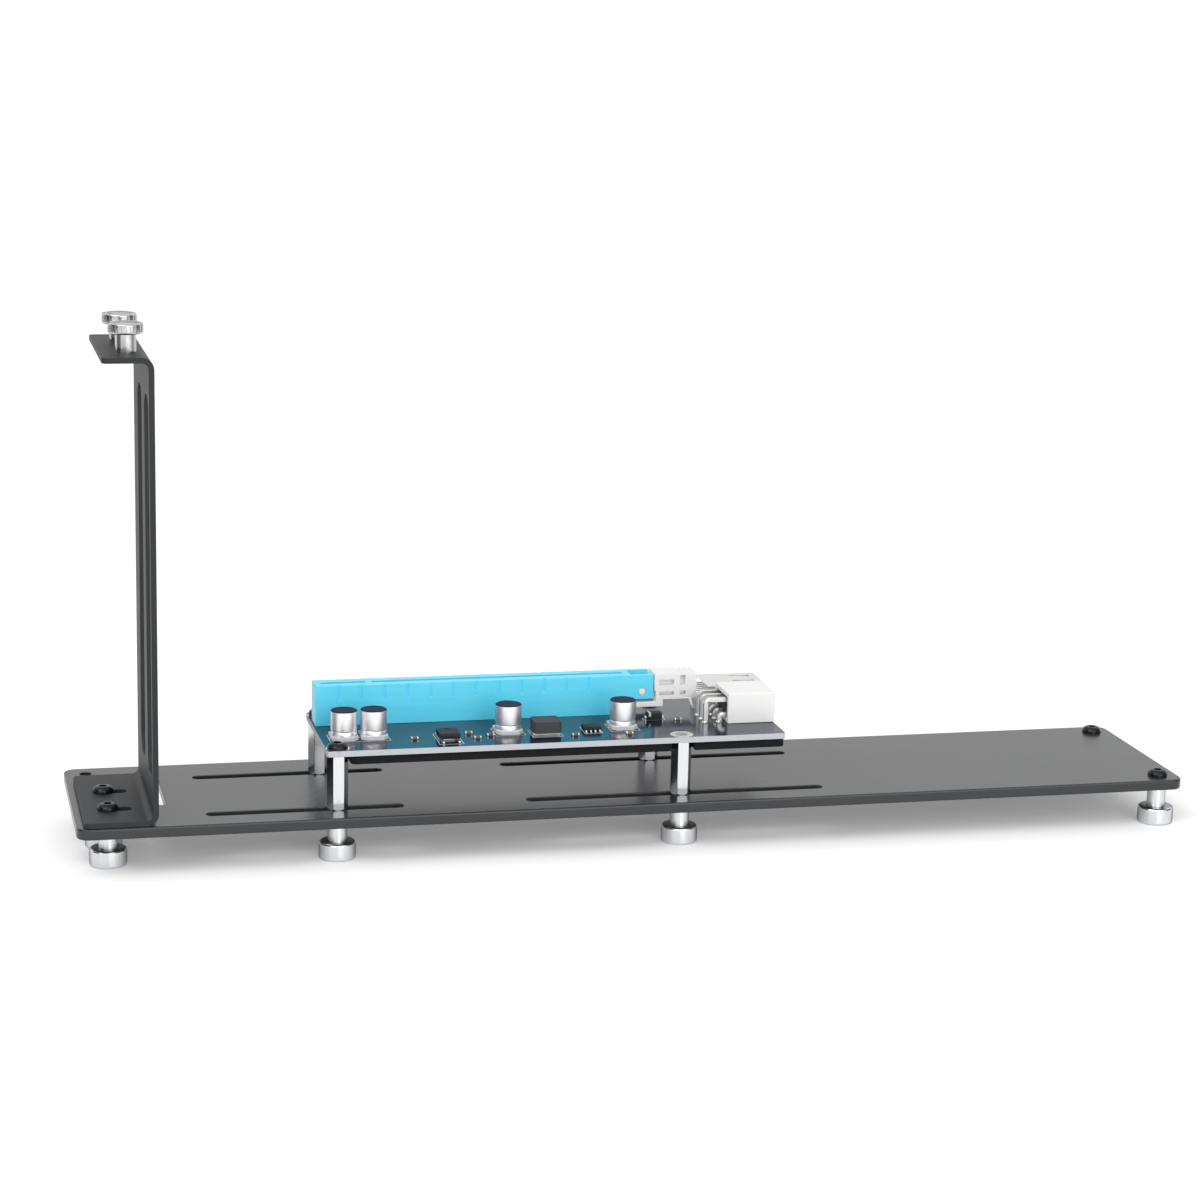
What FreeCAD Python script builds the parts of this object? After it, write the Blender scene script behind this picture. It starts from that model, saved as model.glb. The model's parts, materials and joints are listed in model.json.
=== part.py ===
import FreeCAD, Part
import os
import Sketcher
from FreeCAD import Vector

# Open-air stand that holds an expansion card upright beside its slot board.
# +X runs along the base plate, +Y away from the front edge, +Z up. The origin is on the
# surface that the feet stand on, under the middle of the base plate.
# Sizes are in millimetres. Offsets along X start at the plate's left end, offsets along Y
# at its front edge, and heights of the upright at the plate's top face.
dimensions = {
    # base plate
    "plate_length": 310.0,
    "plate_depth": 60.0,
    "plate_thickness": 3.0,
    "plate_corner_radius": 3.5,
    "plate_rim_chamfer": 0.3,
    "corner_hole_inset": 5.8,
    "slot_width": 3.5,
    "front_row_offset": 9.7,
    "row_spacing": 36.0,
    "left_slot_start": 36.2,
    "left_slot_travel": 49.5,
    "right_slot_start": 123.0,
    "right_slot_travel": 80.6,
    "tongue_slot_gap": 0.7,
    "tongue_slot_width": 3.0,
    "tongue_slot_start": 20.5,
    "tongue_slot_length": 33.0,
    # folded upright
    "sheet": 1.5,
    "bend_radius": 1.8,
    "upright_offset": 21.3,
    "upright_setback": 0.5,
    "upright_depth": 47.0,
    "upright_height": 123.2,
    "foot_length": 19.3,
    "flange_length": 13.25,
    "sheet_corner_radius": 1.5,
    "window_front_offset": 2.9,
    "window_pitch": 20.32,
    "window_width": 12.6,
    "window_bottom": 12.0,
    "window_head": 10.7,
    "window_corner_radius": 4.5,
    "clamp_offset": 8.9,
    "clamp_front_offset": 13.4,
    "clamp_spacing": 16.95,
    "clamp_slot_travel": 4.6,
    # thumb screws on the top flange
    "thumb_setback": 6.2,
    "thumb_front_offset": 12.8,
    "thumb_pitch": 20.32,
    "thumb_head_diameter": 9.2,
    "thumb_head_height": 4.3,
    "thumb_head_chamfer": 0.6,
    "thumb_collar_diameter": 5.4,
    "thumb_collar_height": 3.2,
    "thumb_thread_diameter": 3.3,
    "thumb_thread_length": 6.0,
    "thumb_driver_slot": 0.9,
    "thumb_driver_depth": 1.2,
    # M3 button head screws
    "screw_diameter": 2.9,
    "screw_head_diameter": 5.6,
    "screw_head_height": 1.7,
    "screw_socket_flats": 2.0,
    "screw_socket_depth": 1.0,
    "screw_hole_diameter": 3.2,
    "screw_tip_clearance": 1.0,
    # flanged thumb nuts that serve as feet
    "nut_disc_diameter": 10.0,
    "nut_disc_height": 4.9,
    "nut_neck_diameter": 5.2,
    "nut_neck_height": 5.8,
    "nut_chamfer": 0.5,
    "thread_clearance": 0.05,
    "thumb_fit_clearance": 0.05,
    # hexagonal standoffs
    "standoff_flats": 5.0,
    "standoff_height": 15.0,
    "standoff_bore_depth": 8.0,
    "standoff_chamfer": 0.35,
    # slot board
    "board_length": 127.0,
    "board_thickness": 1.6,
    "board_corner_radius": 1.0,
    "board_hole_side_inset": 3.1,
    "board_hole_edge_inset": 3.0,
    "board_hole_spacing": 95.0,
    "board_hole_diameter": 3.2,
    "riser_offset": 69.5,
    # card slot
    "card_slot_length": 89.0,
    "card_slot_width": 7.5,
    "card_slot_height": 11.25,
    "card_slot_front": 26.4,
    "card_slot_left": 0.5,
    "card_gap": 1.9,
    "card_gap_depth": 7.8,
    "card_gap_end_wall": 2.0,
    "card_key_offset": 14.3,
    "card_key_width": 1.7,
    "contact_pitch": 1.0,
    "contact_width": 0.55,
    "contact_depth": 0.35,
    "contact_height": 6.2,
    "rib_pitch": 6.4,
    "rib_groove_width": 0.7,
    "rib_groove_depth": 0.4,
    "rib_groove_height": 4.2,
    # card latch at the end of the slot
    "cheek_length": 6.4,
    "cheek_thickness": 1.2,
    "cheek_bottom": 4.3,
    "latch_side_clearance": 0.35,
    "latch_pin_diameter": 2.0,
    "latch_pin_clearance": 0.05,
    "latch_pin_height": 6.4,
    "latch_reach": 12.3,
    "latch_block_bottom": 4.2,
    "latch_block_top": 11.4,
    "latch_arm_thickness": 2.6,
    "latch_rib_width": 0.8,
    "latch_lip_bottom": 1.9,
    "latch_lip_height": 1.5,
    "latch_lip_start": 1.6,
    # serial receptacle at the right end of the board
    "port_length": 17.0,
    "port_width": 13.4,
    "port_height": 7.1,
    "port_wall": 0.4,
    "port_overhang": 2.2,
    "port_front": 28.4,
    "port_back_wall": 5.0,
    "port_rear_open": 4.5,
    "port_tongue_thickness": 1.9,
    "port_tongue_length": 9.0,
    "port_tongue_side_gap": 1.1,
    "port_tongue_height": 3.6,
    "port_leg_width": 0.7,
    "port_leg_pitch": 2.2,
    "port_leg_length": 2.4,
    # power header in front of the receptacle
    "header_length": 13.5,
    "header_width": 13.8,
    "header_height": 8.6,
    "header_overhang": 0.3,
    "header_front": 12.0,
    "header_pitch": 4.2,
    "header_cell": 3.3,
    "header_cell_depth": 9.0,
    "header_pin": 1.0,
    "header_pin_inset": 3.0,
    "header_upper_reach": 6.4,
    "header_lower_reach": 2.4,
    # capacitors
    "can_diameter": 7.2,
    "can_height": 6.9,
    "can_edge_radius": 0.5,
    "can_groove_height": 1.2,
    "can_groove_width": 0.7,
    "can_groove_depth": 0.3,
    "can_base_width": 7.4,
    "can_base_height": 1.1,
    "can_base_chamfer": 1.3,
    "can_row": 13.0,
    "can_one_x": 6.3,
    "can_two_x": 14.4,
    "can_three_x": 51.6,
    "can_four_x": 83.8,
    # other board components
    "coil_x": 61.4,
    "coil_y": 9.8,
    "coil_width": 7.6,
    "coil_depth": 7.0,
    "coil_height": 3.2,
    "coil_corner_radius": 1.8,
    "coil_foot_height": 0.8,
    "regulator_x": 34.1,
    "regulator_y": 8.6,
    "regulator_width": 5.8,
    "regulator_depth": 6.2,
    "regulator_height": 2.2,
    "regulator_tab_length": 1.6,
    "regulator_lead_length": 2.6,
    "regulator_metal": 0.6,
    "driver_x": 74.6,
    "driver_y": 11.3,
    "driver_width": 4.9,
    "driver_depth": 3.9,
    "driver_height": 1.5,
    "driver_stand": 0.15,
    "driver_lead_width": 0.42,
    "driver_lead_pitch": 1.27,
    "driver_lead_length": 1.1,
    "diode_port_gap": 17.6,
    "diode_y": 20.3,
    "diode_length": 4.4,
    "diode_depth": 2.6,
    "diode_height": 2.1,
    "diode_lead_width": 1.5,
    "diode_lead_length": 0.5,
    "chip_length": 2.0,
    "chip_width": 1.25,
    "chip_height": 0.7,
    "chip_one_x": 25.0,
    "chip_one_y": 9.2,
    "chip_two_x": 40.5,
    "chip_two_y": 12.6,
    "chip_three_x": 42.0,
    "chip_three_y": 7.4,
    "chip_four_x": 46.0,
    "chip_four_y": 9.6,
    "chip_five_x": 69.0,
    "chip_five_y": 6.2,
    "chip_six_x": 84.0,
    "chip_six_y": 5.6,
    "chip_seven_x": 88.5,
    "chip_seven_y": 21.5,
    "chip_eight_port_gap": 11.2,
    "chip_eight_y": 18.2,
    # insulating pad under the board
    "pad_thickness": 2.5,
    "pad_front_inset": 0.7,
    "pad_post_clearance": 0.35,
    "pad_left_inset": 6.4,
    "pad_corner_radius": 1.5,
}

doc = FreeCAD.newDocument("card_stand")
sheet = doc.addObject("Spreadsheet::Sheet", "Sizes")


# A size keeps its number next to the expression that ties it to the sheet.
class Size:
    def __init__(self, number, text):
        self.number = number
        self.text = text

    def __add__(self, other):
        other = as_size(other)
        return Size(self.number + other.number, f"({self.text} + {other.text})")

    def __sub__(self, other):
        other = as_size(other)
        return Size(self.number - other.number, f"({self.text} - {other.text})")

    def __mul__(self, other):
        other = as_size(other)
        return Size(self.number * other.number, f"({self.text} * {other.text})")

    def __truediv__(self, other):
        other = as_size(other)
        return Size(self.number / other.number, f"({self.text} / {other.text})")

    def __neg__(self):
        return as_size(0) - self


def as_size(item):
    if isinstance(item, Size):
        return item
    return Size(float(item), f"({float(item)})")


class Named:
    pass


size = Named()
for row, (name, number) in enumerate(dimensions.items(), start=1):
    sheet.set(f"A{row}", name)
    sheet.set(f"B{row}", str(number))
    sheet.setAlias(f"B{row}", name)
    setattr(size, name, Size(number, f"Sizes.{name}"))
doc.recompute()

parts = []


def subpart(thing, label):
    thing.Label = label
    parts.append(thing)
    return thing


def bind(thing, prop, amount):
    thing.setExpression(prop, as_size(amount).text)


def place(thing, x, y, z):
    for letter, amount in zip("xyz", (x, y, z)):
        bind(thing, f"Placement.Base.{letter}", amount)
    return thing


# Sketch and feature helpers
def new_body(name):
    return doc.addObject("PartDesign::Body", name)


def sketch_on(body, name, role):
    sketch = body.newObject("Sketcher::SketchObject", name)
    plane = next(item for item in body.Origin.OriginFeatures if item.Role == role)
    sketch.AttachmentSupport = [(plane, "")]
    sketch.MapMode = "FlatFace"
    return sketch


def pin_point(sketch, geometry, position, x, y):
    for kind, amount in (("DistanceX", as_size(x)), ("DistanceY", as_size(y))):
        rule = sketch.addConstraint(Sketcher.Constraint(kind, -1, 1, geometry, position, amount.number))
        sketch.setExpression(f"Constraints[{rule}]", amount.text)


def outline(sketch, points):
    points = [(as_size(x), as_size(y)) for x, y in points]
    places = [Vector(x.number, y.number, 0) for x, y in points]
    lines = []
    for index, start in enumerate(places):
        end = places[(index + 1) % len(places)]
        lines.append(sketch.addGeometry(Part.LineSegment(start, end), False))
    for index, line in enumerate(lines):
        sketch.addConstraint(Sketcher.Constraint("Coincident", lines[index - 1], 2, line, 1))
        pin_point(sketch, line, 1, *points[index])


def rectangle(sketch, x_low, y_low, x_high, y_high):
    outline(sketch, [(x_low, y_low), (x_high, y_low), (x_high, y_high), (x_low, y_high)])


def circle(sketch, x, y, diameter):
    x, y, diameter = as_size(x), as_size(y), as_size(diameter)
    ring = Part.Circle(Vector(x.number, y.number, 0), Vector(0, 0, 1), diameter.number / 2)
    geometry = sketch.addGeometry(ring, False)
    pin_point(sketch, geometry, 3, x, y)
    rule = sketch.addConstraint(Sketcher.Constraint("Diameter", geometry, diameter.number))
    sketch.setExpression(f"Constraints[{rule}]", diameter.text)


# Round-ended slot between two end centres at the same distance y, or x if upright.
def stadium(sketch, start, end, across, width, along_y=False):
    start, end, across, width = as_size(start), as_size(end), as_size(across), as_size(width)
    centres = [(start, across), (end, across)]
    turn = 0.0
    if along_y:
        centres = [(across, start), (across, end)]
        turn = 90.0
    radius = width.number / 2
    arcs = []
    for (x, y), first in zip(centres, (90.0, 270.0)):
        ring = Part.Circle(Vector(x.number, y.number, 0), Vector(0, 0, 1), radius)
        low = FreeCAD.Units.Quantity(f"{first + turn} deg").getValueAs("rad").Value
        high = FreeCAD.Units.Quantity(f"{first + turn + 180} deg").getValueAs("rad").Value
        arcs.append(sketch.addGeometry(Part.ArcOfCircle(ring, low, high), False))
    ends = [(sketch.getPoint(arc, 1), sketch.getPoint(arc, 2)) for arc in arcs]
    side_one = sketch.addGeometry(Part.LineSegment(ends[0][1], ends[1][0]), False)
    side_two = sketch.addGeometry(Part.LineSegment(ends[1][1], ends[0][0]), False)
    for one, one_end, other, other_end in (
        (arcs[0], 2, side_one, 1),
        (side_one, 2, arcs[1], 1),
        (arcs[1], 2, side_two, 1),
        (side_two, 2, arcs[0], 1),
    ):
        sketch.addConstraint(Sketcher.Constraint("Tangent", one, one_end, other, other_end))
    sketch.addConstraint(Sketcher.Constraint("Equal", arcs[0], arcs[1]))
    for arc, centre in zip(arcs, centres):
        pin_point(sketch, arc, 3, *centre)
    rule = sketch.addConstraint(Sketcher.Constraint("Radius", arcs[0], radius))
    sketch.setExpression(f"Constraints[{rule}]", (width / 2).text)


def pad(body, name, sketch, length, reverse=False):
    feature = body.newObject("PartDesign::Pad", name)
    feature.Profile = sketch
    bind(feature, "Length", length)
    feature.Reversed = reverse
    doc.recompute()
    return feature


def pocket(body, name, sketch, length, reverse=False):
    before = body.Shape.Volume
    feature = body.newObject("PartDesign::Pocket", name)
    feature.Profile = sketch
    bind(feature, "Length", length)
    feature.Reversed = reverse
    doc.recompute()
    if body.Shape.Volume >= before:
        raise RuntimeError(f"{name} cuts nothing")
    return feature


def edges_where(shape, test):
    return [f"Edge{index}" for index, edge in enumerate(shape.Edges, start=1) if test(edge)]


# Straight edges along one axis, each through one of the given points of the other two axes.
def edges_along(shape, axis, spots):
    others = [item for item in "xyz" if item != axis]

    def fits(edge):
        if not isinstance(edge.Curve, Part.Line) or abs(getattr(edge.Curve.Direction, axis)) < 0.999:
            return False
        middle = edge.CenterOfMass
        return any(
            abs(getattr(middle, others[0]) - as_size(one).number) < 0.01
            and abs(getattr(middle, others[1]) - as_size(two).number) < 0.01
            for one, two in spots
        )

    return edges_where(shape, fits)


def blend_edges(body, name, edges, amount, kind="PartDesign::Fillet"):
    base = body.Tip
    feature = body.newObject(kind, name)
    feature.Base = (base, edges)
    bind(feature, "Radius" if kind == "PartDesign::Fillet" else "Size", amount)
    doc.recompute()
    return feature


def turned(name, profile):
    body = new_body(name)
    sketch = sketch_on(body, f"{name}_profile", "XZ_Plane")
    outline(sketch, profile)
    feature = body.newObject("PartDesign::Revolution", f"{name}_turn")
    feature.Profile = sketch
    feature.ReferenceAxis = (sketch, ["V_Axis"])
    feature.Angle = 360
    doc.recompute()
    return body


# Primitive helpers
def box(name, low, high):
    block = doc.addObject("Part::Box", name)
    for prop, one, two in zip(("Length", "Width", "Height"), low, high):
        bind(block, prop, as_size(two) - one)
    return place(block, *low)


def cylinder(name, diameter, low, high):
    rod = doc.addObject("Part::Cylinder", name)
    bind(rod, "Radius", diameter / 2)
    bind(rod, "Height", as_size(high) - low)
    bind(rod, "Placement.Base.z", low)
    return rod


def hexagon(name, flats, low, high):
    prism = doc.addObject("Part::Prism", name)
    prism.Polygon = 6
    bind(prism, "Circumradius", flats / 3 ** 0.5)
    bind(prism, "Height", as_size(high) - low)
    bind(prism, "Placement.Base.z", low)
    return prism


def cut(name, base, tool):
    result = doc.addObject("Part::Cut", name)
    result.Base = base
    result.Tool = tool
    return result


def fuse(name, pieces):
    result = doc.addObject("Part::MultiFuse", name)
    result.Shapes = pieces
    result.Refine = True
    return result


def group(name, pieces):
    result = doc.addObject("Part::Compound", name)
    result.Links = pieces
    return result


# Levels and reference lines that several sub-parts share
left_end = -size.plate_length / 2
front_edge = -size.plate_depth / 2
foot_height = size.nut_disc_height + size.nut_neck_height
plate_top = foot_height + size.plate_thickness
front_row = front_edge + size.front_row_offset
back_row = front_row + size.row_spacing
rows = {"front": front_row, "back": back_row}
board_bottom = plate_top + size.standoff_height
board_top = board_bottom + size.board_thickness
left_post = left_end + size.riser_offset
right_post = left_post + size.board_hole_spacing
board_left = left_post - size.board_hole_side_inset
board_right = board_left + size.board_length
board_front = front_row - size.board_hole_edge_inset
board_back = back_row + size.board_hole_edge_inset
wall_right = left_end + size.upright_offset
wall_left = wall_right - size.sheet
upright_front = front_edge + size.upright_setback
flange_top = plate_top + size.upright_height
clamp_x = left_end + size.clamp_offset
clamp_rows = {
    "front": front_edge + size.clamp_front_offset,
    "back": front_edge + size.clamp_front_offset + size.clamp_spacing,
}
corner_right = left_end + size.plate_length - size.corner_hole_inset
corner_left = left_end + size.corner_hole_inset
corner_front = front_edge + size.corner_hole_inset
corner_back = front_edge + size.plate_depth - size.corner_hole_inset


def make_base_plate():
    body = new_body("plate")
    sketch = sketch_on(body, "plate_outline", "XY_Plane")
    right_end = left_end + size.plate_length
    back_edge = front_edge + size.plate_depth
    rectangle(sketch, left_end, front_edge, right_end, back_edge)
    pad(body, "plate_blank", sketch, size.plate_thickness)
    corners = [(x, y) for x in (left_end, right_end) for y in (front_edge, back_edge)]
    blend_edges(body, "plate_corners", edges_along(body.Shape, "z", corners), size.plate_corner_radius)
    rims = edges_where(body.Shape, lambda edge: edge.BoundBox.ZLength < 0.01)
    blend_edges(body, "plate_rims", rims, size.plate_rim_chamfer, "PartDesign::Chamfer")
    openings = sketch_on(body, "plate_openings", "XY_Plane")
    for start, travel in (
        (size.left_slot_start, size.left_slot_travel),
        (size.right_slot_start, size.right_slot_travel),
    ):
        for row_y in rows.values():
            stadium(openings, left_end + start, left_end + start + travel, row_y, size.slot_width)
    for x in (corner_left, corner_right):
        for y in (corner_front, corner_back):
            circle(openings, x, y, size.screw_hole_diameter)
    for y in clamp_rows.values():
        circle(openings, clamp_x, y, size.screw_hole_diameter)
    tongue_x = wall_right + size.tongue_slot_gap + size.tongue_slot_width / 2
    tongue_low = front_edge + size.tongue_slot_start + size.tongue_slot_width / 2
    tongue_high = front_edge + size.tongue_slot_start + size.tongue_slot_length - size.tongue_slot_width / 2
    stadium(openings, tongue_low, tongue_high, tongue_x, size.tongue_slot_width, along_y=True)
    pocket(body, "plate_cut", openings, size.plate_thickness, reverse=True)
    bind(body, "Placement.Base.z", foot_height)
    subpart(body, "base_plate")


# One folded sheet: foot on the plate, wall with a window for each card place, flange at the top.
def make_upright():
    body = new_body("upright")
    section = sketch_on(body, "upright_section", "XZ_Plane")
    foot_left = wall_right - size.foot_length
    flange_left = wall_right - size.flange_length
    foot_top = plate_top + size.sheet
    flange_bottom = flange_top - size.sheet
    outline(section, [
        (foot_left, plate_top),
        (wall_right, plate_top),
        (wall_right, flange_top),
        (flange_left, flange_top),
        (flange_left, flange_bottom),
        (wall_left, flange_bottom),
        (wall_left, foot_top),
        (foot_left, foot_top),
    ])
    pad(body, "upright_sheet", section, size.upright_depth, reverse=True)
    inner = edges_along(body.Shape, "y", [(wall_left, foot_top), (wall_left, flange_bottom)])
    blend_edges(body, "inner_bends", inner, size.bend_radius)
    outer = edges_along(body.Shape, "y", [(wall_right, plate_top), (wall_right, flange_top)])
    blend_edges(body, "outer_bends", outer, size.bend_radius + size.sheet)
    free_corners = [(x, y) for x in (foot_left, flange_left) for y in (0, size.upright_depth)]
    corner_edges = edges_along(body.Shape, "z", free_corners)
    blend_edges(body, "sheet_corners", corner_edges, size.sheet_corner_radius)
    windows = sketch_on(body, "window_outlines", "YZ_Plane")
    window_low = plate_top + size.window_bottom
    window_high = flange_top - size.window_head
    corners = []
    for step in (0, 1):
        window_front = size.window_front_offset - size.upright_setback + size.window_pitch * step
        window_back = window_front + size.window_width
        rectangle(windows, window_front, window_low, window_back, window_high)
        corners += [(y, z) for y in (window_front, window_back) for z in (window_low, window_high)]
    pocket(body, "window_cut", windows, size.plate_length)
    blend_edges(body, "window_corners", edges_along(body.Shape, "x", corners), size.window_corner_radius)
    slots = sketch_on(body, "clamp_slots", "XY_Plane")
    for y in clamp_rows.values():
        stadium(slots, clamp_x, clamp_x + size.clamp_slot_travel, y - upright_front, size.slot_width)
    pocket(body, "clamp_slot_cut", slots, foot_top + size.sheet, reverse=True)
    holes = sketch_on(body, "thumb_holes", "XY_Plane")
    bind(holes, "AttachmentOffset.Base.z", flange_top)
    for y in thumb_rows.values():
        circle(holes, thumb_x, y - upright_front, size.thumb_thread_diameter + size.thumb_fit_clearance * 2)
    pocket(body, "thumb_hole_cut", holes, size.sheet * 2)
    bind(body, "Placement.Base.y", upright_front)
    subpart(body, "upright")


thumb_x = wall_right - size.thumb_setback
thumb_rows = {
    "front": front_edge + size.thumb_front_offset,
    "back": front_edge + size.thumb_front_offset + size.thumb_pitch,
}


def make_thumb_screws():
    thread = size.thumb_thread_diameter / 2
    collar = size.thumb_collar_diameter / 2
    head = size.thumb_head_diameter / 2
    head_top = size.thumb_collar_height + size.thumb_head_height
    edge = size.thumb_head_chamfer
    for side, y in thumb_rows.items():
        blank = turned(f"thumb_{side}", [
            (0, -size.thumb_thread_length),
            (thread - edge / 2, -size.thumb_thread_length),
            (thread, -size.thumb_thread_length + edge / 2),
            (thread, 0),
            (collar, 0),
            (collar, size.thumb_collar_height),
            (head - edge, size.thumb_collar_height),
            (head, size.thumb_collar_height + edge),
            (head, head_top - edge),
            (head - edge, head_top),
            (0, head_top),
        ])
        driver = box(
            f"thumb_{side}_driver",
            (-head, -size.thumb_driver_slot / 2, head_top - size.thumb_driver_depth),
            (head, size.thumb_driver_slot / 2, head_top + size.thumb_driver_depth),
        )
        screw = cut(f"thumb_{side}_screw", blank, driver)
        subpart(place(screw, thumb_x, y, flange_top), f"thumb_screw_{side}")


# M3 button head screw with its seat at the given point and its shank pointing down.
def button_screw(name, length, x, y, z):
    shank = size.screw_diameter / 2
    head = size.screw_head_diameter / 2
    blank = turned(f"{name}_blank", [
        (0, -length),
        (shank, -length),
        (shank, 0),
        (head, 0),
        (head, size.screw_head_height),
        (0, size.screw_head_height),
    ])
    crown = edges_where(
        blank.Shape,
        lambda edge: abs(edge.BoundBox.ZMin - size.screw_head_height.number) < 0.01
        and edge.BoundBox.ZLength < 0.01
        and edge.BoundBox.XLength > size.screw_head_diameter.number * 0.9,
    )
    blend_edges(blank, f"{name}_crown", crown, size.screw_head_height * 0.8)
    socket_floor = size.screw_head_height - size.screw_socket_depth
    socket = hexagon(f"{name}_socket", size.screw_socket_flats, socket_floor, size.screw_head_height * 2)
    return place(cut(name, blank, socket), x, y, z)


def make_plate_screws():
    length = size.plate_thickness + foot_height - size.screw_tip_clearance
    corner = [
        button_screw(f"corner_screw_{side}", length, corner_right, y, plate_top)
        for side, y in (("front", corner_front), ("back", corner_back))
    ]
    subpart(group("corner_screw_pair", corner), "corner_screws")
    for side, y in clamp_rows.items():
        seat = plate_top + size.sheet
        screw = button_screw(f"clamp_screw_{side}_body", length + size.sheet, clamp_x, y, seat)
        subpart(screw, f"upright_clamp_screw_{side}")


# Turned nut: a broad disc on the floor and a neck that bears on the plate.
def thumb_nut(name, label, x, y):
    bore = size.screw_diameter / 2 + size.thread_clearance
    disc = size.nut_disc_diameter / 2
    neck = size.nut_neck_diameter / 2
    edge = size.nut_chamfer
    body = turned(name, [
        (bore, 0),
        (disc - edge, 0),
        (disc, edge),
        (disc, size.nut_disc_height - edge),
        (disc - edge, size.nut_disc_height),
        (neck, size.nut_disc_height),
        (neck, foot_height),
        (bore, foot_height),
    ])
    subpart(place(body, x, y, 0), label)


def make_feet():
    thumb_nut("foot_right_front", "right_front_foot", corner_right, corner_front)
    thumb_nut("foot_right_back", "right_back_foot", corner_right, corner_back)
    for side, y in clamp_rows.items():
        thumb_nut(f"foot_left_{side}", f"left_{side}_foot", clamp_x, y)


# Four posts carry the slot board; each has its own nut under the plate and stands in a slot.
def make_posts():
    posts = {"left": left_post, "right": right_post}
    hex_radius = size.standoff_flats / 3 ** 0.5
    flat = size.standoff_flats / 2
    edge = size.standoff_chamfer
    thread = size.screw_diameter
    stud_end = -(size.plate_thickness + foot_height - size.screw_tip_clearance)
    for end, x in posts.items():
        for side, y in rows.items():
            name = f"post_{end}_{side}"
            prism = hexagon(f"{name}_hexagon", size.standoff_flats, 0, size.standoff_height)
            limits = turned(f"{name}_limits", [
                (0, 0),
                (flat, 0),
                (hex_radius, edge),
                (hex_radius, size.standoff_height - edge),
                (flat, size.standoff_height),
                (0, size.standoff_height),
            ])
            head = doc.addObject("Part::Common", f"{name}_head")
            head.Base = prism
            head.Tool = limits
            stud = cylinder(f"{name}_stud", thread, stud_end, edge)
            solid = fuse(f"{name}_solid", [head, stud])
            floor = size.standoff_height - size.standoff_bore_depth
            bore_diameter = thread + size.thread_clearance * 2
            bore = cylinder(f"{name}_bore", bore_diameter, floor, size.standoff_height + edge)
            post = cut(name, solid, bore)
            subpart(place(post, x, y, plate_top), f"standoff_{end}_{side}")
            thumb_nut(f"{name}_nut", f"slot_nut_{end}_{side}", x, y)
    screw_length = size.board_thickness + size.standoff_bore_depth - size.screw_tip_clearance
    fixings = [(end, side) for end in posts for side in rows if (end, side) != ("right", "front")]
    screws = [
        button_screw(f"board_screw_{end}_{side}", screw_length, posts[end], rows[side], board_top)
        for end, side in fixings
    ]
    subpart(group("board_screw_set", screws), "board_screws")


def make_board():
    body = new_body("board")
    sketch = sketch_on(body, "board_outline", "XY_Plane")
    rectangle(sketch, board_left, board_front, board_right, board_back)
    pad(body, "board_blank", sketch, size.board_thickness)
    corners = [(x, y) for x in (board_left, board_right) for y in (board_front, board_back)]
    blend_edges(body, "board_corners", edges_along(body.Shape, "z", corners), size.board_corner_radius)
    holes = sketch_on(body, "board_holes", "XY_Plane")
    for x in (left_post, right_post):
        for y in rows.values():
            circle(holes, x, y, size.board_hole_diameter)
    pocket(body, "board_hole_cut", holes, size.board_thickness, reverse=True)
    bind(body, "Placement.Base.z", board_bottom)
    subpart(body, "riser_board")


# Soft pad stuck under the board, between the two rows of posts.
def make_pad():
    post_radius = size.standoff_flats / 3 ** 0.5
    room = post_radius + size.pad_post_clearance
    low_y = board_front + size.pad_front_inset
    high_y = back_row - room
    low_x = board_left + size.pad_left_inset
    body = new_body("pad_under_board")
    sketch = sketch_on(body, "pad_outline", "XY_Plane")
    # notched round the right front post
    outline(sketch, [
        (low_x, low_y),
        (right_post - room, low_y),
        (right_post - room, front_row + room),
        (right_post + room, front_row + room),
        (right_post + room, low_y),
        (board_right, low_y),
        (board_right, high_y),
        (low_x, high_y),
    ])
    pad(body, "pad_blank", sketch, size.pad_thickness)
    corners = [(x, y) for x in (low_x, board_right) for y in (low_y, high_y)]
    blend_edges(body, "pad_corners", edges_along(body.Shape, "z", corners), size.pad_corner_radius)
    bind(body, "Placement.Base.z", board_bottom - size.pad_thickness)
    subpart(body, "insulating_pad")


slot_left = board_left + size.card_slot_left
slot_right = slot_left + size.card_slot_length
slot_front = board_front + size.card_slot_front
slot_back = slot_front + size.card_slot_width
slot_middle = slot_front + size.card_slot_width / 2
slot_top = board_top + size.card_slot_height
gap_floor = slot_top - size.card_gap_depth
latch_pin_x = slot_right + size.cheek_length / 2
latch_pin_z = board_top + size.latch_pin_height


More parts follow.
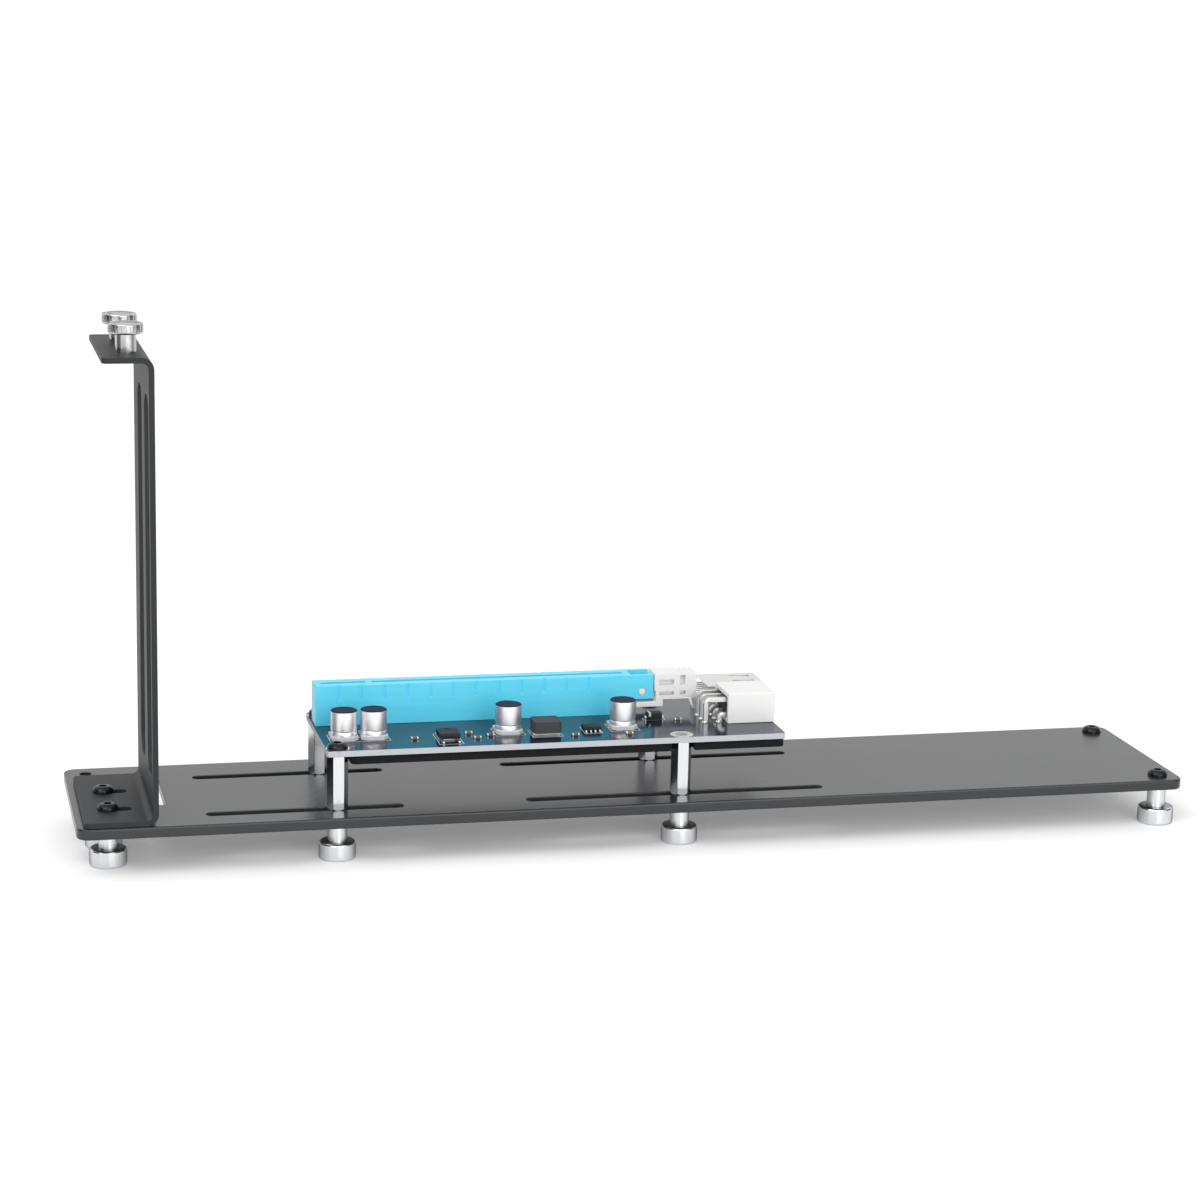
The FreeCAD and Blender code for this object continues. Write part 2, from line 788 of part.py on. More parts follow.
# Edge connector: two pockets split by the key, ribbed long sides, and cheeks for the latch.
def make_card_slot():
    housing = box("slot_block", (slot_left, slot_front, board_top), (slot_right, slot_back, slot_top))
    gap_front = slot_middle - size.card_gap / 2
    gap_back = slot_middle + size.card_gap / 2
    key_left = slot_left + size.card_key_offset
    spans = [
        (slot_left + size.card_gap_end_wall, key_left),
        (key_left + size.card_key_width, slot_right - size.card_gap_end_wall),
    ]
    gaps = [
        box(f"card_gap_{index}", (start, gap_front, gap_floor), (end, gap_back, slot_top + size.card_gap))
        for index, (start, end) in enumerate(spans, start=1)
    ]
    grooves = []
    groove_count = int(size.card_slot_length.number / size.rib_pitch.number) - 1
    groove_low = slot_top - size.rib_groove_height
    for step in range(1, groove_count + 1):
        x = slot_left + size.rib_pitch * step
        for side, y in (("front", slot_front), ("back", slot_back)):
            grooves.append(box(
                f"rib_groove_{side}_{step}",
                (x - size.rib_groove_width / 2, y - size.rib_groove_depth, groove_low),
                (x + size.rib_groove_width / 2, y + size.rib_groove_depth, slot_top + size.rib_groove_depth),
            ))
    trimmed = cut("slot_trimmed", housing, fuse("slot_openings", gaps + grooves))
    cheek_low = board_top + size.cheek_bottom
    cheek_right = slot_right + size.cheek_length
    cheeks = [
        box(
            f"cheek_{side}",
            (slot_right, y, cheek_low),
            (cheek_right, y + size.cheek_thickness, slot_top),
        )
        for side, y in (("front", slot_front), ("back", slot_back - size.cheek_thickness))
    ]
    solid = fuse("slot_solid", [trimmed] + cheeks)
    bore = cross_pin(
        "latch_bore",
        size.latch_pin_diameter + size.latch_pin_clearance * 2,
        slot_front - size.cheek_thickness,
        slot_back + size.cheek_thickness,
    )
    subpart(cut("slot_housing_body", solid, bore), "slot_housing")
    make_slot_contacts(spans, gap_front, gap_back)


# Round pin or bore along Y on the latch's pivot line.
def cross_pin(name, diameter, start, end):
    rod = cylinder(name, diameter, 0, as_size(end) - start)
    rod.Placement.Rotation = FreeCAD.Rotation(Vector(1, 0, 0), -90)
    return place(rod, latch_pin_x, start, latch_pin_z)


def make_slot_contacts(spans, gap_front, gap_back):
    leaves = []
    for start, end in spans:
        count = int((end.number - start.number) / size.contact_pitch.number)
        run = (count - 1) * size.contact_pitch.number
        first = (start.number + end.number - run - size.contact_width.number) / 2
        for step in range(count):
            for y in (gap_front.number, gap_back.number - size.contact_depth.number):
                corner = Vector(first + step * size.contact_pitch.number, y, gap_floor.number)
                leaves.append(Part.makeBox(
                    size.contact_width.number, size.contact_depth.number, size.contact_height.number, corner,
                ))
    contacts = doc.addObject("Part::Feature", "contact_rows")
    contacts.Shape = Part.makeCompound(leaves)
    subpart(contacts, "slot_contacts")


# Retaining lever between the cheeks: a round eye on the pin, an arm and a ribbed finger block.
def make_latch():
    front = slot_front + size.cheek_thickness + size.latch_side_clearance
    back = slot_back - size.cheek_thickness - size.latch_side_clearance
    block_left = slot_right + size.cheek_length + size.latch_side_clearance
    block_right = block_left + size.latch_reach
    block_bottom = board_top + size.latch_block_bottom
    block_top = board_top + size.latch_block_top
    arm = box(
        "latch_arm",
        (latch_pin_x, front, latch_pin_z - size.latch_arm_thickness / 2),
        (block_left + size.latch_arm_thickness, back, latch_pin_z + size.latch_arm_thickness / 2),
    )
    lip_low = board_top + size.latch_lip_bottom
    heel_right = block_left + size.latch_arm_thickness
    lip = box(
        "latch_lip",
        (slot_right + size.latch_lip_start, slot_front, lip_low),
        (heel_right, slot_back, lip_low + size.latch_lip_height),
    )
    heel = box("latch_heel", (block_left, slot_front, lip_low), (heel_right, slot_back, block_top))
    block = box("latch_block", (block_left, slot_front, block_bottom), (block_right, slot_back, block_top))
    eye = cross_pin("latch_eye", size.latch_arm_thickness, front, back)
    pin = cross_pin("latch_pin", size.latch_pin_diameter, slot_front, slot_back)
    solid = fuse("latch_solid", [arm, lip, heel, block, eye, pin])
    grooves = []
    for step in (1, 2, 3):
        x = block_right - size.latch_rib_width * 2 * step
        grooves.append(box(
            f"latch_groove_{step}",
            (x, slot_front - size.latch_rib_width, block_top - size.latch_rib_width / 2),
            (x + size.latch_rib_width, slot_back + size.latch_rib_width, block_top + size.latch_rib_width),
        ))
    subpart(cut("latch_body", solid, fuse("latch_grooves", grooves)), "slot_latch")


# Receptacle: folded shell open to the right, tongue inside, legs bent down behind it.
def make_port():
    right = board_right + size.port_overhang
    left = right - size.port_length
    front = board_front + size.port_front
    back = front + size.port_width
    top = board_top + size.port_height
    wall = size.port_wall
    inner_left = left + size.port_back_wall
    outer = box("port_block", (left, front, board_top), (right, back, top))
    inner = box(
        "port_hollow",
        (inner_left, front + wall, board_top + wall),
        (right + wall, back - wall, top - wall),
    )
    # behind the back wall only the top sheet runs on, over the legs
    rear = box(
        "port_rear",
        (left - wall, front - wall, board_top - wall),
        (left + size.port_rear_open, back + wall, top - wall),
    )
    subpart(cut("port_shell_body", cut("port_front_body", outer, inner), rear), "port_shell")
    tongue_low = board_top + size.port_tongue_height
    gap = size.port_tongue_side_gap
    tongue = box(
        "port_tongue_block",
        (inner_left, front + wall + gap, tongue_low),
        (inner_left + size.port_tongue_length, back - wall - gap, tongue_low + size.port_tongue_thickness),
    )
    subpart(tongue, "port_tongue")
    legs = []
    middle = front + size.port_width / 2
    rear_wall = left + size.port_rear_open
    for step in (-2, -1, 0, 1, 2):
        y = middle + size.port_leg_pitch * step
        low_y = y - size.port_leg_width / 2
        high_y = y + size.port_leg_width / 2
        knee_z = board_top + size.port_height / 2 + size.port_leg_width * step / 2
        reach = left - size.port_leg_length + size.port_leg_width * step / 2
        run = box(f"leg_run_{step + 3}", (reach, low_y, knee_z), (rear_wall, high_y, knee_z + wall))
        drop = box(f"leg_drop_{step + 3}", (reach, low_y, board_top), (reach + wall, high_y, knee_z + wall))
        legs.append(fuse(f"leg_{step + 3}", [run, drop]))
    subpart(group("port_leg_set", legs), "port_legs")


# Power header beside the receptacle: a moulded block with six cells open to the right.
def make_header():
    right = board_right + size.header_overhang
    left = right - size.header_length
    front = board_front + size.header_front
    middle_y = front + size.header_width / 2
    middle_z = board_top + size.header_height / 2
    floor = right - size.header_cell_depth
    half_cell = size.header_cell / 2
    half_pin = size.header_pin / 2
    block = box(
        "header_block",
        (left, front, board_top),
        (right, front + size.header_width, board_top + size.header_height),
    )
    rows = {
        "lower": (middle_z - size.header_pitch / 2, left - size.header_lower_reach),
        "upper": (middle_z + size.header_pitch / 2, left - size.header_upper_reach),
    }
    cells = []
    pins = []
    for row, (z, reach) in rows.items():
        for step in (-1, 0, 1):
            which = f"{row}_{step + 2}"
            y = middle_y + size.header_pitch * step
            cells.append(box(
                f"header_cell_{which}",
                (floor, y - half_cell, z - half_cell),
                (right + size.header_pin, y + half_cell, z + half_cell),
            ))
            pins.append(box(
                f"header_pin_{which}",
                (floor, y - half_pin, z - half_pin),
                (right - size.header_pin_inset, y + half_pin, z + half_pin),
            ))
            # behind the block the pin runs back and drops to the board
            run = box(
                f"header_run_{which}",
                (reach, y - half_pin, z - half_pin),
                (left, y + half_pin, z + half_pin),
            )
            drop = box(
                f"header_drop_{which}",
                (reach, y - half_pin, board_top),
                (reach + size.header_pin, y + half_pin, z + half_pin),
            )
            pins.append(fuse(f"header_leg_{which}", [run, drop]))
    subpart(cut("header_body", block, group("header_cells", cells)), "power_header")
    subpart(group("header_pin_set", pins), "power_header_pins")


# Four can capacitors in a row in front of the slot.
def make_capacitors():
    radius = size.can_diameter / 2
    groove = size.can_groove_depth
    offsets = {
        "one": size.can_one_x,
        "two": size.can_two_x,
        "three": size.can_three_x,
        "four": size.can_four_x,
    }
    for which, offset in offsets.items():
        x = board_left + offset
        y = board_front + size.can_row
        half = size.can_base_width / 2
        base = new_body(f"can_base_{which}")
        sketch = sketch_on(base, f"can_base_outline_{which}", "XY_Plane")
        rectangle(sketch, -half, -half, half, half)
        pad(base, f"can_base_blank_{which}", sketch, size.can_base_height)
        corners = edges_along(base.Shape, "z", [(-half, -half), (half, -half)])
        blend_edges(base, f"can_base_corners_{which}", corners, size.can_base_chamfer, "PartDesign::Chamfer")
        subpart(place(base, x, y, board_top), f"capacitor_base_{which}")
        can = turned(f"can_{which}", [
            (0, 0),
            (radius, 0),
            (radius, size.can_groove_height),
            (radius - groove, size.can_groove_height + size.can_groove_width / 2),
            (radius, size.can_groove_height + size.can_groove_width),
            (radius, size.can_height),
            (0, size.can_height),
        ])
        rim = edges_where(
            can.Shape,
            lambda edge: abs(edge.BoundBox.ZMin - size.can_height.number) < 0.01
            and edge.BoundBox.ZLength < 0.01
            and edge.BoundBox.XLength > size.can_diameter.number * 0.9,
        )
        blend_edges(can, f"can_rim_{which}", rim, size.can_edge_radius)
        subpart(place(can, x, y, board_top + size.can_base_height), f"capacitor_can_{which}")


# Point on the board, from its left end and front edge.
def board_spot(x, y):
    return board_left + x, board_front + y


port_left = board_right + size.port_overhang - size.port_length


def make_coil():
    x, y = board_spot(size.coil_x, size.coil_y)
    body = new_body("coil")
    sketch = sketch_on(body, "coil_outline", "XY_Plane")
    rectangle(sketch, -size.coil_width / 2, -size.coil_depth / 2, size.coil_width / 2, size.coil_depth / 2)
    pad(body, "coil_blank", sketch, size.coil_height)
    corners = [
        (a, b)
        for a in (-size.coil_width / 2, size.coil_width / 2)
        for b in (-size.coil_depth / 2, size.coil_depth / 2)
    ]
    blend_edges(body, "coil_corners", edges_along(body.Shape, "z", corners), size.coil_corner_radius)
    subpart(place(body, x, y, board_top + size.coil_foot_height), "power_coil")
    foot = box(
        "coil_foot_block",
        (x - size.coil_width / 2, y - size.coil_depth / 4, board_top),
        (x + size.coil_width / 2, y + size.coil_depth / 4, board_top + size.coil_foot_height),
    )
    subpart(foot, "power_coil_terminals")


def make_regulator():
    x, y = board_spot(size.regulator_x, size.regulator_y)
    half = size.regulator_width / 2
    front = y - size.regulator_depth / 2
    back = y + size.regulator_depth / 2
    metal_top = board_top + size.regulator_metal
    body = box(
        "regulator_block",
        (x - half, front, metal_top),
        (x + half, back, board_top + size.regulator_height),
    )
    subpart(body, "voltage_regulator")
    tab = box(
        "regulator_tab",
        (x - half, front + size.regulator_lead_length / 2, board_top),
        (x + half, back + size.regulator_tab_length, metal_top),
    )
    leads = [
        box(
            f"regulator_lead_{index}",
            (x + half * offset - size.regulator_metal / 2, front - size.regulator_lead_length, board_top),
            (x + half * offset + size.regulator_metal / 2, front + size.regulator_metal, metal_top),
        )
        for index, offset in enumerate((-0.75, 0.75), start=1)
    ]
    subpart(group("regulator_metal_set", [tab] + leads), "voltage_regulator_leads")


def make_driver():
    x, y = board_spot(size.driver_x, size.driver_y)
    half = size.driver_width / 2
    low = board_top + size.driver_stand
    body = box(
        "driver_block",
        (x - half, y - size.driver_depth / 2, low),
        (x + half, y + size.driver_depth / 2, board_top + size.driver_height),
    )
    subpart(body, "driver_chip")
    leads = []
    for step in range(4):
        lead_x = x + size.driver_lead_pitch * (step - 1.5)
        for side, direction in (("front", -1), ("back", 1)):
            edge = y + size.driver_depth / 2 * direction
            tip = edge + size.driver_lead_length * direction
            near, far = (tip, edge) if direction < 0 else (edge, tip)
            leads.append(box(
                f"driver_lead_{side}_{step}",
                (lead_x - size.driver_lead_width / 2, near, board_top),
                (lead_x + size.driver_lead_width / 2, far, low + size.driver_lead_width),
            ))
    subpart(group("driver_lead_set", leads), "driver_chip_leads")


def make_diode():
    x = port_left - size.diode_port_gap
    y = board_front + size.diode_y
    half = size.diode_length / 2
    body = box(
        "diode_block",
        (x - half, y - size.diode_depth / 2, board_top),
        (x + half, y + size.diode_depth / 2, board_top + size.diode_height),
    )
    subpart(body, "diode")
    lead = size.diode_lead_width / 2
    ends = [
        box(
            f"diode_end_{side}",
            (start, y - lead, board_top),
            (start + size.diode_lead_length, y + lead, board_top + size.diode_height / 2),
        )
        for side, start in (("left", x - half - size.diode_lead_length), ("right", x + half))
    ]
    subpart(group("diode_lead_set", ends), "diode_leads")


def make_chips():
    chips = []
    spots = [
        board_spot(size.chip_one_x, size.chip_one_y),
        board_spot(size.chip_two_x, size.chip_two_y),
        board_spot(size.chip_three_x, size.chip_three_y),
        board_spot(size.chip_four_x, size.chip_four_y),
        board_spot(size.chip_five_x, size.chip_five_y),
        board_spot(size.chip_six_x, size.chip_six_y),
        board_spot(size.chip_seven_x, size.chip_seven_y),
        (port_left - size.chip_eight_port_gap, board_front + size.chip_eight_y),
    ]
    for index, (x, y) in enumerate(spots, start=1):
        chips.append(box(
            f"chip_{index}",
            (x - size.chip_length / 2, y - size.chip_width / 2, board_top),
            (x + size.chip_length / 2, y + size.chip_width / 2, board_top + size.chip_height),
        ))
    subpart(group("chip_set", chips), "chip_resistors")


make_base_plate()
make_upright()
make_thumb_screws()
make_plate_screws()
make_feet()
make_posts()
make_board()
make_pad()
make_card_slot()
make_latch()
make_port()
make_header()
make_capacitors()
make_coil()
make_regulator()
make_driver()
make_diode()
make_chips()
doc.recompute()

failed = [item.Name for item in doc.Objects if "Invalid" in item.State or "Error" in item.State]
if failed:
    raise RuntimeError(f"failed objects: {failed}")
os.makedirs("parts", exist_ok=True)
for part in parts:
    if part.Shape.isNull() or not part.Shape.isValid():
        raise RuntimeError(f"bad shape: {part.Label}")
    part.Shape.exportStep(f"parts/{part.Label}.step")
print(f"{len(parts)} sub-parts written")
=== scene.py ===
import json
import math

import bpy
from mathutils import Matrix, Vector

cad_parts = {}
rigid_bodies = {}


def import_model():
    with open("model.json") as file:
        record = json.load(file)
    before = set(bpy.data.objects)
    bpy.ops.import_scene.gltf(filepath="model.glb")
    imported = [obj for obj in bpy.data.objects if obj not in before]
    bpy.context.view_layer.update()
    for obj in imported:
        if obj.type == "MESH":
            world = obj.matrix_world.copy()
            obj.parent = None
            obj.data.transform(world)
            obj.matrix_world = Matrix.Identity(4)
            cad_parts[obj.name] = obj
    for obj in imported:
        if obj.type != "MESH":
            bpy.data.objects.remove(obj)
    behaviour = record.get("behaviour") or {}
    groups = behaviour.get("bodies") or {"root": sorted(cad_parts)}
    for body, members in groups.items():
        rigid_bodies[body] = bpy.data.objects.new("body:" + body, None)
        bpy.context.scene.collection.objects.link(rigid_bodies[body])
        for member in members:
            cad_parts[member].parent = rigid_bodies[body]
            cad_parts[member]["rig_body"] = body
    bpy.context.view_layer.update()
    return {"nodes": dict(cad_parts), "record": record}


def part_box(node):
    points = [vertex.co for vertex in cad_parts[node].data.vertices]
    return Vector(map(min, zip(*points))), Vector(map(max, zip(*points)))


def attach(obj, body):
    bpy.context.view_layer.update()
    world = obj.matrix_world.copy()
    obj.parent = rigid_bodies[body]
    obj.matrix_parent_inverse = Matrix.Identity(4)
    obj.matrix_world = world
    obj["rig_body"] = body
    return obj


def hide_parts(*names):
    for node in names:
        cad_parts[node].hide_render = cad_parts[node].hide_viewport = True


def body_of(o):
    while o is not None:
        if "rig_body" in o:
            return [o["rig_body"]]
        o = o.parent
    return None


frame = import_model()
nodes = frame["nodes"]
subparts = {entry["node"]: entry for entry in frame["record"]["subparts"]}
mm = 0.001
waveBand = 2 * math.pi / 20  # one band of Blender's wave texture at a scale of one
print("frame loaded", len(nodes), "nodes")


# sRGB hex to the linear colour that the shaders want
def hexColour(text):
    channels = [int(text[i:i + 2], 16) / 255 for i in (1, 3, 5)]
    linear = [c / 12.92 if c <= 0.04045 else ((c + 0.055) / 1.055) ** 2.4 for c in channels]
    return (*linear, 1.0)


# adds one node, sets what is given (attributes first) and links its inputs
def addNode(tree, kind, settings=None, links=None):
    node = tree.nodes.new(kind)
    for name, value in (settings or {}).items():
        if isinstance(name, str) and name not in node.inputs:
            setattr(node, name, value)
        else:
            node.inputs[name].default_value = value
    for name, source in (links or {}).items():
        tree.links.new(source, node.inputs[name])
    return node


# empty material with its shader, and the object's own coordinates in metres
def startMaterial(name, settings):
    material = bpy.data.materials.new(name)
    material.use_nodes = True
    tree = material.node_tree
    shader = tree.nodes["Principled BSDF"]
    for socket, value in settings.items():
        shader.inputs[socket].default_value = value
    place = addNode(tree, "ShaderNodeTexCoord").outputs["Object"]
    return material, tree, shader, place


# sheet steel under powder paint: satin black, a fine orange-peel skin and faint clouds of handling
powder = {"colour": "#232426", "dust": "#2e3033", "roughness": 0.26, "spread": 0.05, "gloss": 0.5,
          "peel": 1.4, "peelHeight": 0.006, "cloud": 38.0}
# the upright's coat: the same skin but duller, and its colours a shade darker than the plate's: painted
# shade standing in for the dark reflections along the wall, so it stays dark where the eye runs along it
dullShadedPowder = {**powder, "colour": "#1e1f21", "dust": "#2a2c2f", "roughness": 0.53, "gloss": 0.3}


def powderCoat(name, paint):
    material, tree, shader, place = startMaterial(name, {"IOR": 1.5, "Specular IOR Level": paint["gloss"]})
    cloud = addNode(tree, "ShaderNodeTexNoise", {"Scale": 1 / (paint["cloud"] * mm), "Detail": 4.0},
                    {"Vector": place})
    tone = addNode(tree, "ShaderNodeMix",
                   {"data_type": "RGBA", 6: hexColour(paint["colour"]), 7: hexColour(paint["dust"])},
                   {0: cloud.outputs["Fac"]})
    tree.links.new(tone.outputs[2], shader.inputs["Base Color"])
    rough = addNode(tree, "ShaderNodeMapRange",
                    {"To Min": paint["roughness"] - paint["spread"],
                     "To Max": paint["roughness"] + paint["spread"]},
                    {"Value": cloud.outputs["Fac"]})
    tree.links.new(rough.outputs["Result"], shader.inputs["Roughness"])
    peel = addNode(tree, "ShaderNodeTexNoise", {"Scale": 1 / (paint["peel"] * mm), "Detail": 2.0},
                   {"Vector": place})
    bump = addNode(tree, "ShaderNodeBump", {"Strength": 0.3, "Distance": paint["peelHeight"] * mm},
                   {"Height": peel.outputs["Fac"]})
    tree.links.new(bump.outputs["Normal"], shader.inputs["Normal"])
    return material


# turned aluminium: bright metal whose rim a grey edge tint darkens, painted shade for the dark surroundings
# that the rim reflects, and tool rings that streak the highlight
# real rings are finer, these are as coarse as they need to be to show
turned = {"colour": "#dddee1", "edge": "#8a8b8e", "roughness": 0.2, "ring": 0.3, "ringHeight": 0.018,
          "smudge": 3.0}


def turnedAluminium():
    # the grey edge tint is painted shade on the rim
    metal = {"Metallic": 1.0, "Base Color": hexColour(turned["colour"]),
             "Specular Tint": hexColour(turned["edge"])}
    material, tree, shader, place = startMaterial("turnedAluminium", metal)
    rings = addNode(tree, "ShaderNodeTexWave",
                    {"wave_type": "BANDS", "bands_direction": "Z",
                     "Scale": waveBand / (turned["ring"] * mm), "Distortion": 0.4},
                    {"Vector": place})
    smudge = addNode(tree, "ShaderNodeTexNoise", {"Scale": 1 / (turned["smudge"] * mm), "Detail": 3.0},
                     {"Vector": place})
    mixed = addNode(tree, "ShaderNodeMath", {"operation": "MULTIPLY"},
                    {0: rings.outputs["Fac"], 1: smudge.outputs["Fac"]})
    rough = addNode(tree, "ShaderNodeMapRange",
                    {"To Min": turned["roughness"] - 0.05, "To Max": turned["roughness"] + 0.16},
                    {"Value": mixed.outputs[0]})
    tree.links.new(rough.outputs["Result"], shader.inputs["Roughness"])
    bump = addNode(tree, "ShaderNodeBump", {"Strength": 1.0, "Distance": turned["ringHeight"] * mm},
                   {"Height": rings.outputs["Fac"]})
    tree.links.new(bump.outputs["Normal"], shader.inputs["Normal"])
    return material


# nickel plate on rolled steel: neutral grey mirror, dulled in patches by fingers
nickel = {"colour": "#d0d0cf", "worn": "#a2a2a2", "roughness": 0.18, "smudge": 2.2}


def brightNickel():
    material, tree, shader, place = startMaterial("brightNickelPlate", {"Metallic": 1.0})
    smudge = addNode(tree, "ShaderNodeTexNoise", {"Scale": 1 / (nickel["smudge"] * mm), "Detail": 5.0},
                     {"Vector": place})
    tone = addNode(tree, "ShaderNodeMix",
                   {"data_type": "RGBA", 6: hexColour(nickel["colour"]), 7: hexColour(nickel["worn"])},
                   {0: smudge.outputs["Fac"]})
    tree.links.new(tone.outputs[2], shader.inputs["Base Color"])
    rough = addNode(tree, "ShaderNodeMapRange",
                    {"To Min": nickel["roughness"] - 0.06, "To Max": nickel["roughness"] + 0.16},
                    {"Value": smudge.outputs["Fac"]})
    tree.links.new(rough.outputs["Result"], shader.inputs["Roughness"])
    return material


# black oxide on cold headed steel: near black with an oily half gloss
oxide = {"colour": "#1a1b1d", "worn": "#303134", "roughness": 0.26, "patch": 1.6}


def blackOxide():
    material, tree, shader, place = startMaterial("blackOxideSteel", {"Metallic": 0.75})
    patch = addNode(tree, "ShaderNodeTexNoise", {"Scale": 1 / (oxide["patch"] * mm), "Detail": 4.0},
                    {"Vector": place})
    tone = addNode(tree, "ShaderNodeMix",
                   {"data_type": "RGBA", 6: hexColour(oxide["colour"]), 7: hexColour(oxide["worn"])},
                   {0: patch.outputs["Fac"]})
    tree.links.new(tone.outputs[2], shader.inputs["Base Color"])
    rough = addNode(tree, "ShaderNodeMapRange",
                    {"To Min": oxide["roughness"] - 0.08, "To Max": oxide["roughness"] + 0.14},
                    {"Value": patch.outputs["Fac"]})
    tree.links.new(rough.outputs["Result"], shader.inputs["Roughness"])
    return material


# glass epoxy board: glossy navy mask over raised copper runs, cut edges pale with the glass layers showing
mask = {"colour": "#0d1a2e", "copper": "#142a44", "edge": "#c9ccd0", "edgeDark": "#9aa0a4", "run": 0.8,
        "runLength": 7.0, "runWidth": 0.17, "runHeight": 0.03, "patch": 11.0, "layer": 0.2,
        "faceRoughness": 0.14, "edgeRoughness": 0.75}


def solderMask():
    material, tree, shader, place = startMaterial("blueSolderMaskOnGlassEpoxy", {"IOR": 1.42})
    inMillimetres = addNode(tree, "ShaderNodeMapping", {"Scale": (1 / mm, 1 / mm, 1 / mm)},
                            {"Vector": place})
    runs = addNode(tree, "ShaderNodeTexBrick",
                   {"offset": 0.37, "Scale": 1.0, "Mortar Size": mask["runWidth"] / 2, "Mortar Smooth": 0.2,
                    "Brick Width": mask["runLength"], "Row Height": mask["run"]},
                   {"Vector": inMillimetres.outputs[0]})
    patch = addNode(tree, "ShaderNodeTexNoise", {"Scale": 1 / (mask["patch"] * mm), "Detail": 0.0},
                    {"Vector": place})
    bundle = addNode(tree, "ShaderNodeMapRange",
                     {"interpolation_type": "STEPPED", "From Min": 0.48, "From Max": 0.52, "Steps": 1.0},
                     {"Value": patch.outputs["Fac"]})
    copper = addNode(tree, "ShaderNodeMath", {"operation": "MULTIPLY"},
                     {0: runs.outputs["Fac"], 1: bundle.outputs["Result"]})
    top = addNode(tree, "ShaderNodeMix",
                  {"data_type": "RGBA", 6: hexColour(mask["colour"]), 7: hexColour(mask["copper"])},
                  {0: copper.outputs[0]})
    layers = addNode(tree, "ShaderNodeTexWave",
                     {"wave_type": "BANDS", "bands_direction": "Z",
                      "Scale": waveBand / (mask["layer"] * mm), "Distortion": 1.5, "Detail": 2.0},
                     {"Vector": place})
    side = addNode(tree, "ShaderNodeMix",
                   {"data_type": "RGBA", 6: hexColour(mask["edge"]), 7: hexColour(mask["edgeDark"])},
                   {0: layers.outputs["Fac"]})
    facing = addNode(tree, "ShaderNodeSeparateXYZ", {},
                     {0: addNode(tree, "ShaderNodeNewGeometry").outputs["Normal"]})
    flat = addNode(tree, "ShaderNodeMath", {"operation": "ABSOLUTE"}, {0: facing.outputs["Z"]})
    isFace = addNode(tree, "ShaderNodeMath", {"operation": "GREATER_THAN", 1: 0.6}, {0: flat.outputs[0]})
    colour = addNode(tree, "ShaderNodeMix", {"data_type": "RGBA"},
                     {0: isFace.outputs[0], 6: side.outputs[2], 7: top.outputs[2]})
    tree.links.new(colour.outputs[2], shader.inputs["Base Color"])
    rough = addNode(tree, "ShaderNodeMapRange",
                    {"To Min": mask["edgeRoughness"], "To Max": mask["faceRoughness"]},
                    {"Value": isFace.outputs[0]})
    tree.links.new(rough.outputs["Result"], shader.inputs["Roughness"])
    bump = addNode(tree, "ShaderNodeBump", {"Strength": 0.6, "Distance": mask["runHeight"] * mm},
                   {"Height": copper.outputs[0]})
    tree.links.new(bump.outputs["Normal"], shader.inputs["Normal"])
    return material


# glass filled polyester, moulded: sky blue, satin, with flow marks drawn along the length
slotPlastic = {"colour": "#60dcf8", "flow": "#55d0f0", "roughness": 0.36, "flowWidth": 1.4,
               "flowStretch": 0.12, "grain": 0.35, "grainHeight": 0.008}


def skyBluePolyester():
    material, tree, shader, place = startMaterial("skyBlueMouldedPolyester", {"IOR": 1.57})
    drawn = addNode(tree, "ShaderNodeMapping", {"Scale": (slotPlastic["flowStretch"], 1.0, 1.0)},
                    {"Vector": place})
    flow = addNode(tree, "ShaderNodeTexNoise",
                   {"Scale": 1 / (slotPlastic["flowWidth"] * mm), "Detail": 3.0},
                   {"Vector": drawn.outputs[0]})
    tone = addNode(tree, "ShaderNodeMix",
                   {"data_type": "RGBA", 6: hexColour(slotPlastic["colour"]),
                    7: hexColour(slotPlastic["flow"])},
                   {0: flow.outputs["Fac"]})
    tree.links.new(tone.outputs[2], shader.inputs["Base Color"])
    rough = addNode(tree, "ShaderNodeMapRange",
                    {"To Min": slotPlastic["roughness"] - 0.06, "To Max": slotPlastic["roughness"] + 0.08},
                    {"Value": flow.outputs["Fac"]})
    tree.links.new(rough.outputs["Result"], shader.inputs["Roughness"])
    grain = addNode(tree, "ShaderNodeTexNoise", {"Scale": 1 / (slotPlastic["grain"] * mm), "Detail": 1.0},
                    {"Vector": place})
    bump = addNode(tree, "ShaderNodeBump", {"Strength": 0.2, "Distance": slotPlastic["grainHeight"] * mm},
                   {"Height": grain.outputs["Fac"]})
    tree.links.new(bump.outputs["Normal"], shader.inputs["Normal"])
    return material
